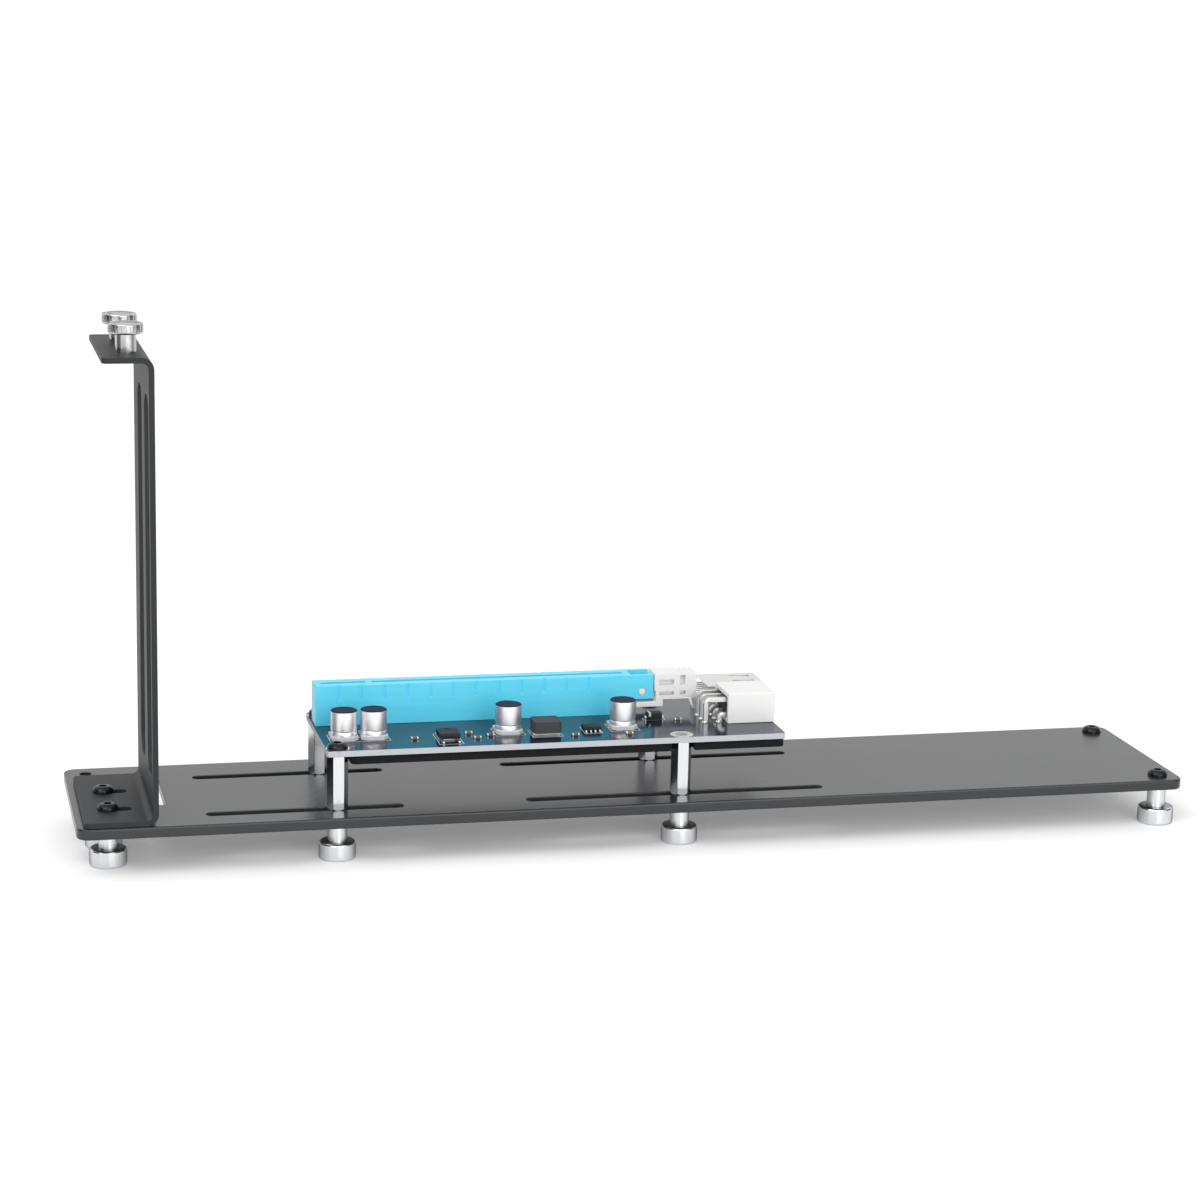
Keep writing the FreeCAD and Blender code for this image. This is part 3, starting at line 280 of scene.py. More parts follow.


# a moulded or pressed surface with a speck of a second tone, a dull to glossy spread and a fine skin
# each finish below names its own grain in millimetres, edge tints a metal's rim grey as painted shade, and
# gloss dulls a plastic
def grainyFinish(name, look):
    base = {"Metallic": look.get("metallic", 0.0), "Specular IOR Level": look.get("gloss", 0.5),
            "Specular Tint": hexColour(look.get("edge", "#ffffff"))}
    material, tree, shader, place = startMaterial(name, base)
    stretched = addNode(tree, "ShaderNodeMapping", {"Scale": look.get("stretch", (1.0, 1.0, 1.0))},
                        {"Vector": place})
    grain = addNode(tree, "ShaderNodeTexNoise",
                    {"Scale": 1 / (look["grain"] * mm), "Detail": look.get("detail", 3.0)},
                    {"Vector": stretched.outputs[0]})
    tone = addNode(tree, "ShaderNodeMix",
                   {"data_type": "RGBA", 6: hexColour(look["colour"]), 7: hexColour(look["second"])},
                   {0: grain.outputs["Fac"]})
    tree.links.new(tone.outputs[2], shader.inputs["Base Color"])
    rough = addNode(tree, "ShaderNodeMapRange", {"To Min": look["rough"][0], "To Max": look["rough"][1]},
                    {"Value": grain.outputs["Fac"]})
    tree.links.new(rough.outputs["Result"], shader.inputs["Roughness"])
    bump = addNode(tree, "ShaderNodeBump",
                   {"Strength": look.get("bump", 0.25), "Distance": look["height"] * mm},
                   {"Height": grain.outputs["Fac"]})
    tree.links.new(bump.outputs["Normal"], shader.inputs["Normal"])
    return material


# closed cell foam: soft black with open pores on its cut faces, the pore centres painted darker as shade
# inside them
foam = {"colour": "#1b1b1d", "pore": "#0c0c0d", "cell": 0.55, "depth": 0.12}


def closedCellFoam():
    material, tree, shader, place = startMaterial("closedCellFoam",
                                                  {"Roughness": 0.92, "Specular IOR Level": 0.25})
    cells = addNode(tree, "ShaderNodeTexVoronoi", {"Scale": 1 / (foam["cell"] * mm)}, {"Vector": place})
    tone = addNode(tree, "ShaderNodeMix",
                   {"data_type": "RGBA", 6: hexColour(foam["pore"]), 7: hexColour(foam["colour"])},
                   {0: cells.outputs["Distance"]})
    tree.links.new(tone.outputs[2], shader.inputs["Base Color"])
    bump = addNode(tree, "ShaderNodeBump", {"Strength": 0.7, "Distance": foam["depth"] * mm},
                   {"Height": cells.outputs["Distance"]})
    tree.links.new(bump.outputs["Normal"], shader.inputs["Normal"])
    return material


finishes = {
    "satin_black_paint": powderCoat("satinBlackPowderCoat", powder),
    "turned_aluminium": turnedAluminium(),
    "nickel_plate": brightNickel(),
    "black_oxide_steel": blackOxide(),
    "blue_solder_mask": solderMask(),
    "sky_blue_plastic": skyBluePolyester(),
    "black_foam": closedCellFoam(),
    # injection moulded nylon: milky white, soft sheen, hardly any texture
    "white_plastic": grainyFinish("whiteMouldedNylon",
                                  {"colour": "#ededeb", "second": "#e2e3e2", "rough": (0.36, 0.5),
                                   "grain": 0.5, "height": 0.008}),
    # gold flash on spring bronze: yellow mirror with rolling lines
    "gold_contacts": grainyFinish("goldFlashOnBronze",
                                  {"colour": "#e2bb62", "second": "#c9993f", "rough": (0.2, 0.38),
                                   "grain": 0.3, "height": 0.004, "metallic": 1.0,
                                   "stretch": (1.0, 1.0, 0.2)}),
    # deep drawn aluminium can: bright, with lines up the wall from the die, coarse enough to show, and a
    # grey edge tint that darkens the rim as painted shade
    "can_aluminium": grainyFinish("deepDrawnAluminium",
                                  {"colour": "#f7f8fa", "second": "#ecedf0", "edge": "#8d8e93",
                                   "rough": (0.3, 0.46), "grain": 0.25, "height": 0.004, "metallic": 0.9,
                                   "stretch": (1.0, 1.0, 0.05)}),
    # moulded base plastic of the cans: pale, matt
    "pale_plastic": grainyFinish("paleMouldedBase",
                                 {"colour": "#cfd0d2", "second": "#bcbdc0", "rough": (0.45, 0.6),
                                  "grain": 0.4, "height": 0.01}),
    # sintered ferrite: charcoal grey and gritty
    "ferrite": grainyFinish("sinteredFerrite",
                            {"colour": "#2d2f31", "second": "#484b4e", "rough": (0.5, 0.75), "gloss": 0.3,
                             "grain": 0.18, "height": 0.02, "detail": 5.0, "bump": 0.5}),
    # transfer moulded epoxy: flat black with a sparkless fine grain
    "package_black": grainyFinish("transferMouldedEpoxy",
                                  {"colour": "#1a1b1d", "second": "#27282b", "rough": (0.42, 0.62),
                                   "gloss": 0.25, "grain": 0.12, "height": 0.012, "bump": 0.4}),
    # tin plate and solder: pale grey, puddled and a little dull
    "tinned_metal": grainyFinish("tinPlatedCopper",
                                 {"colour": "#e4e4e1", "second": "#c8c9c8", "rough": (0.22, 0.46),
                                  "grain": 0.45, "height": 0.012, "metallic": 1.0}),
    # nickelled sheet steel, folded: bright with rolling lines along the fold
    "port_steel": grainyFinish("nickelledSheetSteel",
                               {"colour": "#e6e6e5", "second": "#d6d6d5", "rough": (0.34, 0.52),
                                "grain": 0.3, "height": 0.004, "metallic": 1.0,
                                "stretch": (0.06, 1.0, 1.0)}),
    # royal blue moulded insulator: satin
    "port_blue_plastic": grainyFinish("royalBlueInsulator",
                                      {"colour": "#1f5fb8", "second": "#1a529f", "rough": (0.34, 0.5),
                                       "grain": 0.4, "height": 0.008}),
}
# hexagon bar: drawn aluminium, its fine die lines run up the flats, and a grey edge tint darkens its rims
# as painted shade
drawnBar = grainyFinish("drawnAluminiumBar",
                        {"colour": "#e2e3e6", "second": "#d3d4d8", "edge": "#9a9b9e", "rough": (0.1, 0.2),
                         "grain": 0.4, "height": 0.003, "metallic": 1.0, "stretch": (1.0, 1.0, 0.04)})
# printing inks: flat and a little chalky, each on its own marks; the cans' navy is partly printed ink and
# partly painted dark reflection
canInkAndReflection = grainyFinish("navyCanInk",
                      {"colour": "#11182f", "second": "#192342", "rough": (0.55, 0.7), "gloss": 0.15,
                       "grain": 0.3, "height": 0.004})
legendInk = grainyFinish("whiteLegendInk",
                         {"colour": "#dfe3e6", "second": "#c4cad0", "rough": (0.5, 0.7), "grain": 0.2,
                          "height": 0.006})
bandInk = grainyFinish("paleBandInk",
                       {"colour": "#c9cbce", "second": "#b3b6ba", "rough": (0.45, 0.6), "grain": 0.2,
                        "height": 0.004})
# fired ceramic of the small chips: tan to dark from piece to piece
chipCeramic = grainyFinish("firedChipCeramic",
                           {"colour": "#26272a", "second": "#8d7a62", "rough": (0.45, 0.6), "grain": 16.0,
                            "height": 0.004, "detail": 0.0})
for name, entry in subparts.items():
    nodes[name].data.materials.clear()
    nodes[name].data.materials.append(finishes[entry["material_slot"]])
print("finishes assigned")


# all off, so that the next operator meets only what is picked
def clearPick():
    bpy.ops.object.select_all(action="DESELECT")


def takePiece(name):
    piece = bpy.context.object
    piece.name = name
    piece.data.name = name
    bpy.ops.object.transform_apply(location=True, rotation=True, scale=True)
    return piece


# block between two corners, in millimetres
def addBlock(name, low, high):
    clearPick()
    middle = [(a + b) / 2 * mm for a, b in zip(low, high)]
    spread = [(b - a) * mm for a, b in zip(low, high)]
    bpy.ops.mesh.primitive_cube_add(size=1, location=middle, scale=spread)
    return takePiece(name)


# upright drum round a point, in millimetres
def addDrum(name, x, y, low, high, radius, sides):
    clearPick()
    bpy.ops.mesh.primitive_cylinder_add(vertices=sides, radius=radius * mm, depth=(high - low) * mm,
                                        location=(x * mm, y * mm, (low + high) / 2 * mm))
    return takePiece(name)


def makeActive(piece):
    clearPick()
    piece.select_set(True)
    bpy.context.view_layer.objects.active = piece


# opens a piece for editing with the faces, edges or points that pass the test, in millimetres
def pick(piece, kind, test):
    makeActive(piece)
    bpy.ops.object.mode_set(mode="EDIT")
    bpy.ops.mesh.select_mode(type=kind)
    bpy.ops.mesh.select_all(action="DESELECT")
    bpy.ops.object.mode_set(mode="OBJECT")
    mesh = piece.data
    if kind == "FACE":
        for face in mesh.polygons:
            face.select = test(face.center / mm, face.normal)
    elif kind == "EDGE":
        for edge in mesh.edges:
            a, b = (mesh.vertices[index].co / mm for index in edge.vertices)
            edge.select = test(a, b)
    else:
        for point in mesh.vertices:
            point.select = test(point.co / mm)
    bpy.ops.object.mode_set(mode="EDIT")


def closeEdit():
    bpy.ops.object.mode_set(mode="OBJECT")


# cuts a piece into bands along an axis, without taking anything away
def score(piece, axis, places):
    for place in places:
        pick(piece, "FACE", lambda c, n: True)
        point = [0, 0, 0]
        normal = [0, 0, 0]
        point["xyz".index(axis)] = place * mm
        normal["xyz".index(axis)] = 1
        bpy.ops.mesh.bisect(plane_co=point, plane_no=normal)
        closeEdit()


def applyModifier(piece, kind, settings):
    makeActive(piece)
    modifier = piece.modifiers.new(kind.lower(), kind)
    for name, value in settings.items():
        setattr(modifier, name, value)
    bpy.ops.object.modifier_apply(modifier=modifier.name)


def softenEdges(piece, width, segments=2, angle=40):
    applyModifier(piece, "BEVEL",
                  {"width": width * mm, "segments": segments, "limit_method": "ANGLE",
                   "angle_limit": math.radians(angle), "use_clamp_overlap": False})


def cutAway(piece, tool):
    applyModifier(piece, "BOOLEAN", {"operation": "DIFFERENCE", "object": tool, "solver": "EXACT"})
    bpy.data.objects.remove(tool)


def joinPieces(name, pieces):
    clearPick()
    for piece in pieces:
        piece.select_set(True)
    bpy.context.view_layer.objects.active = pieces[0]
    bpy.ops.object.join()
    pieces[0].name = name
    pieces[0].data.name = name
    return pieces[0]


# copy with its own mesh, moved in millimetres and turned about the upright axis through the frame's zero
def copyPiece(piece, name, shift, turn=0):
    makeActive(piece)
    bpy.ops.object.duplicate(linked=False)
    twin = bpy.context.object
    twin.rotation_euler = (0, 0, math.radians(turn))
    twin.location = Vector(shift) * mm
    return takePiece(name)


# gives faces that pass the test the material in that place of the list
def paintFaces(piece, index, test):
    for face in piece.data.polygons:
        if test(face.center / mm, face.normal):
            face.material_index = index


# shading, materials, and what the piece stands for and rides with
def finishPiece(piece, stands, materials=None, smooth=38, rides=None, slot=None):
    makeActive(piece)
    bpy.ops.object.shade_smooth_by_angle(angle=math.radians(smooth))
    applyModifier(piece, "WEIGHTED_NORMAL", {"keep_sharp": True, "weight": 50})
    entry = subparts[stands[0] if stands else rides]
    slot = slot or entry["material_slot"]
    marks = [face.material_index for face in piece.data.polygons]
    piece.data.materials.clear()
    for material in materials or [finishes[slot]]:
        piece.data.materials.append(material)
    for face, mark in zip(piece.data.polygons, marks):
        face.material_index = mark
    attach(piece, body_of(nodes[stands[0] if stands else rides])[0])
    if stands:
        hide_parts(*stands)


# a CAD form with its triangles merged to clean faces and its edges broken
def softCopy(node, name, width, finish=True, materials=None):
    piece = bpy.data.objects.new(name, nodes[node].data.copy())
    bpy.context.scene.collection.objects.link(piece)
    pick(piece, "FACE", lambda c, n: True)
    bpy.ops.mesh.customdata_custom_splitnormals_clear()
    bpy.ops.mesh.remove_doubles(threshold=0.002 * mm)
    bpy.ops.mesh.dissolve_limited(angle_limit=math.radians(1.0))
    closeEdit()
    softenEdges(piece, width)
    if finish:
        finishPiece(piece, [node], materials, smooth=30)
    return piece


# low and high corner of a node's box, in millimetres
def boxOf(node):
    return [[value / mm for value in corner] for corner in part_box(node)]


def middleOf(node):
    low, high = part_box(node)
    return [(a + b) / 2 / mm for a, b in zip(low, high)]


# extrudes what is picked, in millimetres
def pullOut(x, y, z):
    bpy.ops.mesh.extrude_region_move(TRANSFORM_OT_translate={"value": (x * mm, y * mm, z * mm)})


# a node's name as the piece's name
def camelName(node):
    first, *rest = node.split("_")
    return first + "".join(word.capitalize() for word in rest)


# folded and cut sheet, posts, slot and pad keep the solid's form with edges that catch light
postNames = ("left_front", "left_back", "right_front", "right_back")
edges = {"base_plate": 0.28, "upright": 0.22, "slot_housing": 0.14, "insulating_pad": 0.35}
edges.update({"standoff_" + name: 0.1 for name in postNames})
# the upright takes the darker, painted shade copy of the plate's paint
ownFinish = {"upright": [powderCoat("dullBlackPowderCoat", dullShadedPowder)], "standoff": [drawnBar]}
for node, width in edges.items():
    softCopy(node, camelName(node), width, materials=ownFinish.get(node.split("_")[0]))

boardTop = boxOf("riser_board")[1][2]
# latch: the solid's form with four pockets moulded into each side, X and Z from its block's left and top
latch = {"edge": 0.22, "block": 12.3, "relief": 0.42, "reliefStart": 0.3, "cheek": 1.38, "lipTop": 3.62,
         "pivot": 6.53, "pocketDepth": 1.5, "pocketCorner": 0.2,
         "pockets": [(1.3, 5.7, 1.8, 3.3), (1.3, 5.7, 5.2, 6.3), (7.4, 8.9, 0.6, 3.5),
                     (7.4, 9.2, 5.1, 6.2)]}


def slotLatch():
    low, high = boxOf("slot_latch")
    piece = softCopy("slot_latch", "slotLatch", latch["edge"], finish=False)
    left = high[0] - latch["block"]
    # relief behind the block, so that it clears the cheeks when it is pressed
    bottom, top = boardTop + latch["lipTop"], boardTop + latch["pivot"]
    sides = []
    for y in (low[1], high[1]):
        sides.append(addBlock("relief", (left - latch["reliefStart"], y - latch["cheek"], bottom),
                              (left + latch["relief"], y + latch["cheek"], top)))
    cutAway(piece, joinPieces("relief", sides))
    for x0, x1, z0, z1 in latch["pockets"]:
        for y in (low[1], high[1]):
            pocket = addBlock("pocket", (left + x0, y - latch["pocketDepth"], high[2] - z1),
                              (left + x1, y + latch["pocketDepth"], high[2] - z0))
            softenEdges(pocket, latch["pocketCorner"])
            cutAway(piece, pocket)
    finishPiece(piece, ["slot_latch"], smooth=30)


slotLatch()
print("sheet and moulded forms softened")


# flanged thumb nut: disc with rolled rims, neck and a clear bore
nut = {"disc": 10.0, "discHeight": 4.9, "neck": 5.2, "height": 10.7, "bore": 3.0, "rim": 0.75,
       "recess": 2.3, "recessDepth": 0.5, "sides": 96}


def thumbNut():
    piece = addDrum("thumbNut", 0, 0, 0, nut["discHeight"], nut["disc"] / 2, nut["sides"])
    pick(piece, "EDGE", lambda a, b: abs(a.z - b.z) < 0.01)
    bpy.ops.mesh.bevel(offset=nut["rim"] * mm, segments=5, profile=0.5)
    closeEdit()
    pick(piece, "FACE", lambda c, n: n.z > 0.99 and c.z > nut["discHeight"] - 0.01)
    bpy.ops.mesh.inset(thickness=(nut["disc"] / 2 - nut["rim"] - nut["neck"] / 2) * mm)
    pullOut(0, 0, nut["height"] - nut["discHeight"])
    bpy.ops.mesh.inset(thickness=(nut["neck"] - nut["bore"]) / 2 * mm)
    bpy.ops.mesh.delete(type="FACE")
    closeEdit()
    pick(piece, "FACE", lambda c, n: n.z < -0.99)
    bpy.ops.mesh.inset(thickness=(nut["disc"] / 2 - nut["rim"] - nut["recess"]) * mm)
    bpy.ops.mesh.inset(thickness=(nut["recess"] - nut["bore"] / 2) * mm, depth=-nut["recessDepth"] * mm)
    bpy.ops.mesh.delete(type="FACE")
    closeEdit()
    boreEdge = nut["bore"] / 2 + 0.02
    pick(piece, "EDGE", lambda a, b: a.xy.length < boreEdge and b.xy.length < boreEdge)
    bpy.ops.mesh.bridge_edge_loops()
    closeEdit()
    pick(piece, "FACE", lambda c, n: True)
    bpy.ops.mesh.normals_make_consistent(inside=False)
    closeEdit()
    return piece


nutMaster = thumbNut()
for node in [name for name in nodes if name.endswith("_foot") or name.startswith("slot_nut_")]:
    x, y = middleOf(node)[:2]
    finishPiece(copyPiece(nutMaster, camelName(node), (x, y, 0)), [node])
bpy.data.objects.remove(nutMaster)
print("thumb nuts turned")


# thumb screw: straight knurl, driver slot, plain collar and a cut thread
thumb = {"head": 9.2, "headHeight": 2.8, "rim": 0.55, "ridges": 30, "knurl": 0.26, "knurlEdge": 0.05,
         "dishRim": 0.55, "dishWall": 0.25, "dish": 0.18, "slotWidth": 1.0, "slotDepth": 1.2,
         "collar": 5.4, "collarHeight": 4.7, "core": 0.3, "thread": 3.3, "threadDepth": 0.36,
         "threadLength": 2.9, "threadStart": 0.75, "threadEnd": 0.9, "pitch": 0.8, "point": 0.4}


def thumbScrew():
    low, top = thumb["collarHeight"], thumb["collarHeight"] + thumb["headHeight"]
    sides = thumb["ridges"] * 2
    piece = addDrum("thumbScrew", 0, 0, low, top, thumb["head"] / 2, sides)
    pick(piece, "EDGE", lambda a, b: abs(a.z - b.z) < 0.01)
    bpy.ops.mesh.bevel(offset=thumb["rim"] * mm, segments=3, profile=0.5)
    closeEdit()
    # every second flat is sunk
    step = 2 * math.pi / sides

    def secondFlat(c, n):
        return abs(n.z) < 0.01 and int((math.atan2(c.y, c.x) + math.pi) / step) % 2 == 0

    pick(piece, "FACE", secondFlat)
    bpy.ops.mesh.inset(thickness=thumb["knurlEdge"] * mm, depth=-thumb["knurl"] * mm, use_individual=True)
    closeEdit()
    # shallow dish in the top
    pick(piece, "FACE", lambda c, n: n.z > 0.99 and c.z > top - 0.01)
    bpy.ops.mesh.inset(thickness=thumb["dishRim"] * mm)
    bpy.ops.mesh.inset(thickness=thumb["dishWall"] * mm, depth=-thumb["dish"] * mm)
    closeEdit()
    # collar, then the thread's core
    pick(piece, "FACE", lambda c, n: n.z < -0.99)
    bpy.ops.mesh.inset(thickness=(thumb["head"] / 2 - thumb["rim"] - thumb["collar"] / 2) * mm)
    pullOut(0, 0, -low)
    bpy.ops.mesh.inset(thickness=(thumb["collar"] - thumb["thread"]) / 2 * mm + thumb["core"] * mm)
    pullOut(0, 0, -(thumb["threadLength"] - thumb["point"]))
    bpy.ops.mesh.inset(thickness=thumb["point"] * mm, depth=thumb["point"] * mm)
    closeEdit()
    halfSlot = thumb["slotWidth"] / 2
    cutAway(piece, addBlock("driverCut", (-6, -halfSlot, top - thumb["slotDepth"]), (6, halfSlot, top + 1)))
    # thread: a three sided profile screwed down the core
    clearPick()
    start = ((thumb["thread"] / 2 - thumb["threadDepth"]) * mm, 0,
             -thumb["threadLength"] * mm + thumb["threadStart"] * mm)
    bpy.ops.mesh.primitive_circle_add(vertices=3, radius=thumb["threadDepth"] * mm, location=start,
                                      rotation=(math.radians(90), math.radians(90), 0))
    thread = takePiece("thumbThread")
    turns = int((thumb["threadLength"] - thumb["threadEnd"]) / thumb["pitch"])
    applyModifier(thread, "SCREW", {"angle": 2 * math.pi, "screw_offset": thumb["pitch"] * mm,
                                    "iterations": turns, "steps": 20, "render_steps": 20, "axis": "Z"})
    pick(thread, "EDGE", lambda a, b: False)
    bpy.ops.mesh.select_non_manifold()
    bpy.ops.mesh.edge_face_add()
    bpy.ops.mesh.select_all(action="SELECT")
    bpy.ops.mesh.normals_make_consistent(inside=False)
    closeEdit()
    return joinPieces("thumbScrew", [piece, thread])


thumbMaster = thumbScrew()
flangeTop = boxOf("upright")[1][2]
for side in ("front", "back"):
    x, y = middleOf("thumb_screw_" + side)[:2]
    finishPiece(copyPiece(thumbMaster, side + "ThumbScrew", (x, y, flangeTop)), ["thumb_screw_" + side])
bpy.data.objects.remove(thumbMaster)
print("thumb screws knurled")


# button head screw: domed head built up in insets, six sided socket, plain shank
button = {"head": 5.6, "height": 1.7, "skirt": 0.3, "crown": 2.4, "socket": 2.0, "socketDepth": 1.0,
          "shank": 2.9, "point": 0.3, "sides": 48, "steps": 7}


def buttonScrew(length):
    piece = addDrum("buttonScrew", 0, 0, 0, button["skirt"], button["head"] / 2, button["sides"])
    pick(piece, "FACE", lambda c, n: n.z > 0.99)
    radius, height = button["head"] / 2, 0.0
    rise, run = button["height"] - button["skirt"], (button["head"] - button["crown"]) / 2
    for step in range(1, button["steps"] + 1):
        angle = math.pi / 2 * step / button["steps"]
        newRadius = button["head"] / 2 - run * (1 - math.cos(angle))
        newHeight = rise * math.sin(angle)
        bpy.ops.mesh.inset(thickness=(radius - newRadius) * mm, depth=(newHeight - height) * mm)
        radius, height = newRadius, newHeight
    closeEdit()
    pick(piece, "FACE", lambda c, n: n.z < -0.99)
    bpy.ops.mesh.inset(thickness=(button["head"] - button["shank"]) / 2 * mm)
    pullOut(0, 0, -(length - button["point"]))
    bpy.ops.mesh.inset(thickness=button["point"] * mm, depth=button["point"] * mm)
    closeEdit()
    socketFloor, corner = button["height"] - button["socketDepth"], button["socket"] / math.sqrt(3)
    cutAway(piece, addDrum("socketCut", 0, 0, socketFloor, button["height"] + 1, corner, 6))
    return piece


# screws of one node, each spot with the turn of its socket in degrees
def placeScrews(node, name, spots, seat):
    low = boxOf(node)[0][2]
    master = buttonScrew(seat - low)
    copies = [copyPiece(master, name, (x, y, seat), turn) for x, y, turn in spots]
    bpy.data.objects.remove(master)
    finishPiece(joinPieces(name, copies) if len(copies) > 1 else copies[0], [node], smooth=30)


plateTop = boxOf("base_plate")[1][2]
footSheet = 1.5  # the upright's foot, under its clamp screws
x, y = middleOf("right_front_foot")[:2]
backY = middleOf("right_back_foot")[1]
placeScrews("corner_screws", "cornerScrews", [(x, y, 14), (x, backY, 41)], plateTop)
for side, turn in (("front", 8), ("back", 33)):
    x, y = middleOf(f"upright_clamp_screw_{side}")[:2]
    placeScrews(f"upright_clamp_screw_{side}", side + "ClampScrew", [(x, y, turn)], plateTop + footSheet)
posts = {name: middleOf("standoff_" + name)[:2] for name in postNames}
boardTurns = {"left_front": 5, "left_back": 27, "right_back": 48}
placeScrews("board_screws", "boardScrews", [(*posts[name], turn) for name, turn in boardTurns.items()],
            boardTop)
print("button head screws placed")


# can capacitor: drawn can with a rolled groove and a soft shoulder, a navy top that is partly print and
# partly painted reflection, moulded base with leads
can = {"diameter": 7.2, "height": 6.9, "groove": 1.25, "grooveHalf": 0.4, "grooveDepth": 0.22,
       "shoulder": 0.35, "rimInset": 0.3, "topDish": 0.06, "sides": 64}
canBase = {"width": 7.4, "height": 1.1, "chamfer": 1.3, "seatEdge": 0.18, "edge": 0.12,
           "leadWidth": 0.9, "leadOut": 0.35, "leadIn": 1.2, "leadHeight": 0.2, "leadEdge": 0.05}
canNames = ("one", "two", "three", "four")


def canMaster():
    piece = addDrum("can", 0, 0, 0, can["height"], can["diameter"] / 2, can["sides"])
    score(piece, "z", [can["groove"] - can["grooveHalf"], can["groove"], can["groove"] + can["grooveHalf"]])
    pick(piece, "VERT", lambda p: abs(p.z - can["groove"]) < 0.05)
    shrink = 1 - can["grooveDepth"] / (can["diameter"] / 2)
    bpy.ops.transform.resize(value=(shrink, shrink, 1), center_override=(0, 0, can["groove"] * mm))
    closeEdit()
    pick(piece, "EDGE", lambda a, b: abs(a.z - b.z) < 0.01 and a.z > can["height"] - 0.01)
    bpy.ops.mesh.bevel(offset=can["shoulder"] * mm, segments=5, profile=0.5)
    closeEdit()
    pick(piece, "FACE", lambda c, n: n.z > 0.99 and c.z > can["height"] - 0.01)
    bpy.ops.mesh.inset(thickness=can["rimInset"] * mm, depth=-can["topDish"] * mm)
    closeEdit()
    # the navy covers the top and most of the shoulder: partly printed ink, partly painted dark reflection
    paintFaces(piece, 1, lambda c, n: c.z > can["height"] - can["shoulder"] * 0.8)
    return piece


def canBaseMaster():
    half = canBase["width"] / 2
    piece = addBlock("canBase", (-half, -half, 0), (half, half, canBase["height"]))
    pick(piece, "EDGE", lambda a, b: abs(a.z - b.z) > 0.5 and a.y < 0)
    bpy.ops.mesh.bevel(offset=canBase["chamfer"] * mm, segments=1)
    closeEdit()
    # a face of its own under the can
    pick(piece, "FACE", lambda c, n: n.z > 0.99)
    bpy.ops.mesh.inset(thickness=canBase["seatEdge"] * mm)
    closeEdit()
    softenEdges(piece, canBase["edge"])
    leads = []
    for side in (-1, 1):
        left, right = sorted((side * (half - canBase["leadIn"]), side * (half + canBase["leadOut"])))
        lead = addBlock("canLead", (left, -canBase["leadWidth"] / 2, 0.0),
                        (right, canBase["leadWidth"] / 2, canBase["leadHeight"]))
        softenEdges(lead, canBase["leadEdge"])
        paintFaces(lead, 1, lambda c, n: True)
        leads.append(lead)
    return joinPieces("canBase", [piece] + leads)


canForm, baseForm = canMaster(), canBaseMaster()
for which in canNames:
    x, y = middleOf("capacitor_base_" + which)[:2]
    base = copyPiece(baseForm, "canBase" + which.capitalize(), (x, y, boardTop))
    finishPiece(base, ["capacitor_base_" + which], [finishes["pale_plastic"], finishes["tinned_metal"]])
    drum = copyPiece(canForm, "can" + which.capitalize(), (x, y, boardTop + canBase["height"]))
    finishPiece(drum, ["capacitor_can_" + which], [finishes["can_aluminium"], canInkAndReflection])
bpy.data.objects.remove(canForm)
bpy.data.objects.remove(baseForm)
print("capacitors built")


# power coil: pressed ferrite case with a lipped top and hollowed sides, on two tinned clips
coil = {"corner": 1.0, "lip": 0.5, "dishWall": 0.2, "dish": 0.18, "panelEdge": 0.45, "panelDepth": 0.14,
        "edge": 0.08}


def powerCoil():
    low, high = boxOf("power_coil")
    piece = addBlock("powerCoil", low, high)
    pick(piece, "EDGE", lambda a, b: abs(a.z - b.z) > 0.5)
    bpy.ops.mesh.bevel(offset=coil["corner"] * mm, segments=5, profile=0.5)
    closeEdit()
    pick(piece, "FACE", lambda c, n: n.z > 0.99)
    bpy.ops.mesh.inset(thickness=coil["lip"] * mm)
    bpy.ops.mesh.inset(thickness=coil["dishWall"] * mm, depth=-coil["dish"] * mm)
    closeEdit()
    pick(piece, "FACE", lambda c, n: max(abs(n.x), abs(n.y)) > 0.999)
    bpy.ops.mesh.inset(thickness=coil["panelEdge"] * mm, depth=-coil["panelDepth"] * mm,
                       use_individual=True)
    closeEdit()
    softenEdges(piece, coil["edge"], 2, 30)
    finishPiece(piece, ["power_coil"])
    softCopy("power_coil_terminals", "powerCoilTerminals", coil["edge"])


# moulded package: drafted halves, and a mould mark on top or a printed band
package = {"edge": 0.09, "markDepth": 0.12, "leadEdge": 0.08}


def mouldedPackage(node, name, draft, mark=None, band=None):
    low, high = boxOf(node)
    middle = [(a + b) / 2 for a, b in zip(low, high)]
    piece = addBlock(name, low, high)
    score(piece, "z", [middle[2]])
    for level in (low[2], high[2]):
        pick(piece, "FACE", lambda c, n: abs(n.z) > 0.99 and abs(c.z - level) < 0.01)
        pivot = (middle[0] * mm, middle[1] * mm, level * mm)
        bpy.ops.transform.resize(value=(draft, draft, 1), center_override=pivot)
        closeEdit()
    softenEdges(piece, package["edge"], 2, 25)
    if band:
        start, end = low[0] + band[0], low[0] + band[1]
        score(piece, "x", [start, end])
        paintFaces(piece, 1, lambda c, n: start < c.x < end and c.z > middle[2])
    if mark:
        x, y, radius = low[0] + mark[0], low[1] + mark[1], mark[2]
        cutAway(piece, addDrum("mouldMark", x, y, high[2] - package["markDepth"], high[2] + 1, radius, 24))
    finishPiece(piece, [node], [finishes["package_black"], bandInk] if band else None, smooth=25)


# gull wing leads of the driver: foot, rise and shoulder drawn out of one small block
wing = {"width": 0.42, "foot": 0.62, "thickness": 0.16, "slope": 0.16, "rise": 0.38, "gap": 0.1,
        "edge": 0.04, "pitch": 1.27, "count": 4}


